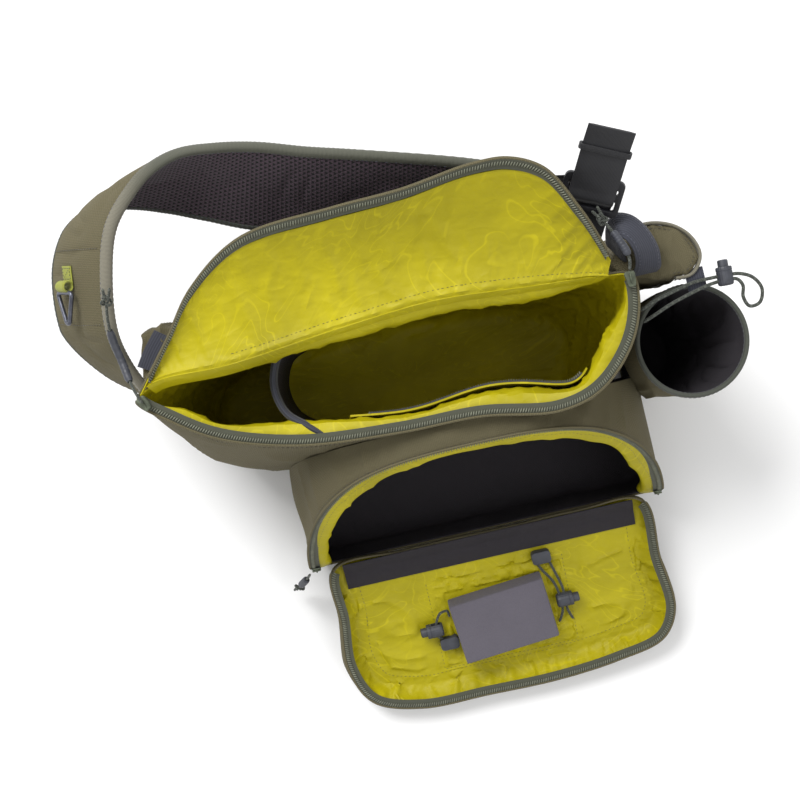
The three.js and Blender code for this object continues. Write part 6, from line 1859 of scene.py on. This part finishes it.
def make_locks():
    """The three cord locks, the two moulded panel tabs and the bottle cord's webbing tab."""
    make_lock(
        "bottle_lock_barrel", "bottle_cord_lock", "grey_plastic", (290, 24, 205), (1, -0.05, 0), (0.05, 1, 0),
        "bottle_lock_button"
    )
    make_lock("right_lock_barrel", "tippet_lock_right", "grey_plastic", (59, -85, CORD_LIFT), (0, 1, 0), (1, 0, 0),
              "right_lock_button", PANEL_AT)
    make_lock("left_lock_barrel", "tippet_lock_left", "grey_plastic", (-68, -87, CORD_LIFT), (0, 1, 0), (-1, 0, 0),
              "left_lock_button", PANEL_AT)
    for label, x, y in (("right", 45, -38), ("left", -57, -104)):
        at = PANEL_AT @ np.array(Matrix.Translation((x, y, PANEL_TOP + 4)))
        outline = rounded_rectangle(18, 12, 3.4)
        tab = plate(f"panel_tab_{label}", outline, 8, at, bevel=2.0)
        dress(tab, "grey_plastic", f"tippet_tab_{label}")
    stops = np.array([(266, 17.4, 201.6), (266, 27, 202.2), (266, 36.6, 201.6)])
    tape, face, out = webbing_line("bottle_cord_webbing", stops, np.tile((1.0, 0, 0), (3, 1)), 16, 2.2, 40)
    dress(tape, "slate_webbing", "bottle_cord_tab")
    stitches(
        "bottle_tab_stitches", "slate_thread", [(face[4, 1:-1], out[4, 1:-1]), (face[-5, 1:-1], out[-5, 1:-1])], 2.0,
        0.8
    )


def make_slider(name, node, centre, wide, long, turn, up=(0, 0, 1)):
    """A zipper slider: two plates on a waist, side flanges, and a bridge for the pull."""
    spin = np.array(Matrix.Rotation(turn, 4, "Z"))[:3, :3]
    tilt = np.eye(3) if up[2] > 0.9 else np.array([(1, 0, 0), (0, 0, -1), (0, 1, 0)], float)
    at = np.eye(4)
    at[:3, :3], at[:3, 3] = tilt @ spin, centre
    outline = [(x * (1 - 0.18 * (y < 0)), y) for x, y in rounded_rectangle(wide, long, 2.6)]
    body = plate(f"{name}_lower", outline, 1.3, at @ np.array(Matrix.Translation((0, 0, -1.3))), bevel=0.4)
    top = plate(
        f"{name}_upper", [(x * 0.92, y * 0.95) for x, y in outline], 1.3,
        at @ np.array(Matrix.Translation((0, 0, 0.6))), bevel=0.5
    )
    waist = block(f"{name}_waist", (-1.4, long * 0.1, -1.5), (1.4, long * 0.42, 1.0), at, bevel=0.4)
    arch = 1.1 + 0.9 * np.sin(np.linspace(0, math.pi, 24)) ** 0.5
    bow = np.stack([np.zeros(24), np.linspace(-long * 0.32, long * 0.34, 24), arch], 1)
    bridge = tube(f"{name}_bridge", moved(bow, at), 0.75, 10, 0.5)
    dress(body, "slider_metal", node)
    for part in (top, waist, bridge):
        dress(part, "slider_metal", node)


def make_sliders():
    """The zipper sliders on the mouth and on the front pocket."""
    make_slider("slider_mouth_left", "slider_left", (-207, 27, 230.5), 9, 13, 0.5)
    make_slider("slider_mouth_right", "slider_right", (205, 37.5, 249.6), 9, 13, 0.0)
    make_slider("slider_pocket_left", "slider_pocket", (-110.5, -153.8, 70.6), 9, 12, 0.0, (0, -1, 0))
    make_slider("slider_pocket_right", "slider_stop", (214.6, -153.8, 70.6), 8, 10, 0.0, (0, -1, 0))


# Stage ----------------------------------------------------------------------

def make_stage():
    """The pale floor, the camera above the open bag, and soft studio light."""
    scene = bpy.context.scene
    scene.view_settings.view_transform = "Standard"
    floor_mesh = bpy.data.meshes.new("floor")
    reach = 6.0
    floor_mesh.from_pydata(
        [(-reach, -reach, 0), (reach, -reach, 0), (reach, reach, 0), (-reach, reach, 0)], [], [(0, 1, 2, 3)]
    )
    floor = bpy.data.objects.new("floor", floor_mesh)
    scene.collection.objects.link(floor)
    f = Finish("floor_paper", 0.9)
    floor.data.materials.append(
        f.done(f.colour(f.noise(0.5, 2.0), [(0.3, (0.86, 0.86, 0.86)), (0.7, (0.89, 0.89, 0.89))]))
    )
    camera = bpy.data.cameras.new("camera")
    camera.sensor_width, camera.lens, camera.clip_end = 36, 1537 / 800 * 36, 50
    viewer = bpy.data.objects.new("camera", camera)
    scene.collection.objects.link(viewer)
    right, top = unit(np.array((0.975, -0.222, 0))), unit(np.array((0.222, 0.975, 0)))
    viewer.matrix_world = Matrix(basis(right, top, (0, 0, 1), (0, -0.017, 1.5)).tolist())
    scene.camera = viewer
    world = bpy.data.worlds.new("studio")
    world.use_nodes = True
    world.node_tree.nodes["Background"].inputs["Color"].default_value = (1, 1, 1, 1)
    world.node_tree.nodes["Background"].inputs["Strength"].default_value = 0.7
    scene.world = world
    for name, way, distance, size, power_of in (
        ("key", -right * 0.55 + top * 0.7 + np.array((0, 0, 1.0)), 4.5, 2.4, 200),
        ("fill", right * 0.8 - top * 0.5 + np.array((0, 0, 1.1)), 4.5, 3.0, 45),
    ):
        lamp = bpy.data.lights.new(name, "AREA")
        lamp.shape, lamp.size, lamp.energy = "DISK", size, power_of
        holder = bpy.data.objects.new(name, lamp)
        scene.collection.objects.link(holder)
        z = unit(way)
        x = unit(np.cross((0, 0, 1.0), z))
        holder.matrix_world = Matrix(basis(x, np.cross(z, x), z, z * distance).tolist())


# Settings, operators, panel -------------------------------------------------

class SLING_PG_bag(bpy.types.PropertyGroup):
    """What a user would change on the bag."""

    outer_colour: bpy.props.FloatVectorProperty(
        name="Outer cloth", description="Colour of the outer cloth", subtype="COLOR", size=3, min=0, max=1,
        default=shade(COLOURS["olive_cloth"]))
    lining_colour: bpy.props.FloatVectorProperty(
        name="Lining", description="Colour of the coated lining", subtype="COLOR", size=3, min=0, max=1,
        default=shade(COLOURS["lime_lining"]))
    mesh_colour: bpy.props.FloatVectorProperty(
        name="Spacer mesh", description="Colour of the padded mesh on the strap and the back", subtype="COLOR", size=3,
        min=0, max=1, default=shade(COLOURS["spacer_mesh"]))
    webbing_colour: bpy.props.FloatVectorProperty(
        name="Grey webbing", description="Colour of the handle and the sewn webbing", subtype="COLOR", size=3,
        min=0, max=1, default=shade(COLOURS["slate_webbing"]))
    stitch_length: bpy.props.FloatProperty(
        name="Stitch length", description="Length of one stitch", default=0.0029, min=0.001, max=0.01, unit="LENGTH")
    stitch_gap: bpy.props.FloatProperty(
        name="Stitch gap", description="Space between two stitches", default=0.0011, min=0.0002, max=0.01,
        unit="LENGTH")
    tooth_spacing: bpy.props.FloatProperty(
        name="Tooth spacing", description="Distance between two turns of a zipper coil", default=0.0022, min=0.0008,
        max=0.004, unit="LENGTH")
    fold_depth: bpy.props.FloatProperty(
        name="Fold depth", description="How far the soft walls stand out of their plain shape", default=0.003, min=0.0,
        max=0.008, unit="LENGTH")


class Piece:
    """What the operators share."""

    bl_options = {"REGISTER", "UNDO"}


class SLING_OT_stage(Piece, bpy.types.Operator):
    """Make the floor, the camera and the lights"""
    bl_idname, bl_label = "sling_bag.stage", "Stage"

    def execute(self, context):
        make_stage()
        return {"FINISHED"}


class SLING_OT_cords(Piece, bpy.types.Operator):
    """Make the cords, their knots and their sleeves"""
    bl_idname, bl_label = "sling_bag.cords", "Cords and pulls"

    def execute(self, context):
        make_cords()
        return {"FINISHED"}


class SLING_OT_compartment(Piece, bpy.types.Operator):
    """Make the main compartment with its lining and its zipper half"""
    bl_idname, bl_label = "sling_bag.compartment", "Main compartment"

    def execute(self, context):
        make_compartment()
        return {"FINISHED"}


class SLING_OT_lid(Piece, bpy.types.Operator):
    """Make the folded-back lid"""
    bl_idname, bl_label = "sling_bag.lid", "Lid"

    def execute(self, context):
        make_lid()
        return {"FINISHED"}


class SLING_OT_back(Piece, bpy.types.Operator):
    """Make the padded mesh back"""
    bl_idname, bl_label = "sling_bag.back", "Back padding"

    def execute(self, context):
        make_back_pad()
        return {"FINISHED"}


class SLING_OT_inside(Piece, bpy.types.Operator):
    """Make the sleeve and the zipped pocket inside the compartment"""
    bl_idname, bl_label = "sling_bag.inside", "Inner pockets"

    def execute(self, context):
        make_inside()
        return {"FINISHED"}


class SLING_OT_front(Piece, bpy.types.Operator):
    """Make the front pocket's walls, facing, lining and zipper half"""
    bl_idname, bl_label = "sling_bag.front", "Front pocket"

    def execute(self, context):
        make_front_pocket()
        return {"FINISHED"}


class SLING_OT_panel(Piece, bpy.types.Operator):
    """Make the fold-down panel with its quilted lining"""
    bl_idname, bl_label = "sling_bag.panel", "Fold-down panel"

    def execute(self, context):
        make_panel()
        return {"FINISHED"}


class SLING_OT_foam(Piece, bpy.types.Operator):
    """Make the foam block on the panel"""
    bl_idname, bl_label = "sling_bag.foam", "Foam block"

    def execute(self, context):
        make_foam()
        return {"FINISHED"}


class SLING_OT_locks(Piece, bpy.types.Operator):
    """Make the cord locks and their tabs"""
    bl_idname, bl_label = "sling_bag.locks", "Cord locks"

    def execute(self, context):
        make_locks()
        return {"FINISHED"}


class SLING_OT_strap(Piece, bpy.types.Operator):
    """Make the padded shoulder strap"""
    bl_idname, bl_label = "sling_bag.strap", "Shoulder strap"

    def execute(self, context):
        make_strap()
        return {"FINISHED"}


class SLING_OT_ring(Piece, bpy.types.Operator):
    """Make the strap's tab and ring"""
    bl_idname, bl_label = "sling_bag.ring", "Strap ring"

    def execute(self, context):
        make_strap_ring()
        return {"FINISHED"}


class SLING_OT_adjuster(Piece, bpy.types.Operator):
    """Make the adjuster webbing, its lock and its keeper"""
    bl_idname, bl_label = "sling_bag.adjuster", "Adjuster"

    def execute(self, context):
        make_adjuster()
        return {"FINISHED"}


class SLING_OT_wings(Piece, bpy.types.Operator):
    """Make the two cloth wings"""
    bl_idname, bl_label = "sling_bag.wings", "Wings"

    def execute(self, context):
        make_wings()
        return {"FINISHED"}


class SLING_OT_handle(Piece, bpy.types.Operator):
    """Make the grab handle"""
    bl_idname, bl_label = "sling_bag.handle", "Grab handle"

    def execute(self, context):
        make_handle()
        return {"FINISHED"}


class SLING_OT_bottle(Piece, bpy.types.Operator):
    """Make the bottle pocket"""
    bl_idname, bl_label = "sling_bag.bottle", "Bottle pocket"

    def execute(self, context):
        make_bottle_pocket()
        return {"FINISHED"}


class SLING_OT_sliders(Piece, bpy.types.Operator):
    """Make the zipper sliders"""
    bl_idname, bl_label = "sling_bag.sliders", "Zipper sliders"

    def execute(self, context):
        make_sliders()
        return {"FINISHED"}


OPERATORS = (
    SLING_OT_stage, SLING_OT_cords, SLING_OT_compartment, SLING_OT_lid, SLING_OT_back, SLING_OT_inside, SLING_OT_front,
    SLING_OT_panel, SLING_OT_foam, SLING_OT_locks, SLING_OT_strap, SLING_OT_ring, SLING_OT_adjuster, SLING_OT_wings,
    SLING_OT_handle, SLING_OT_bottle, SLING_OT_sliders,
)


class SLING_PT_bag(bpy.types.Panel):
    """The bag's settings and its pieces."""
    bl_idname, bl_label = "SLING_PT_bag", "Sling bag"
    bl_space_type, bl_region_type, bl_category = "VIEW_3D", "UI", "Sling Bag"

    def draw(self, context):
        for key in SLING_PG_bag.__annotations__:
            self.layout.prop(context.scene.sling_bag, key)
        for operator in OPERATORS:
            self.layout.operator(operator.bl_idname)


CLASSES = (SLING_PG_bag, *OPERATORS, SLING_PT_bag)


def register():
    for item in CLASSES:
        bpy.utils.register_class(item)
    bpy.types.Scene.sling_bag = bpy.props.PointerProperty(type=SLING_PG_bag)


def unregister():
    del bpy.types.Scene.sling_bag
    for item in reversed(CLASSES):
        bpy.utils.unregister_class(item)


def main():
    register()
    for operator in OPERATORS:
        group, name = operator.bl_idname.split(".")
        getattr(getattr(bpy.ops, group), name)()
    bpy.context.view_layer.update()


if __name__ == "__main__":
    main()
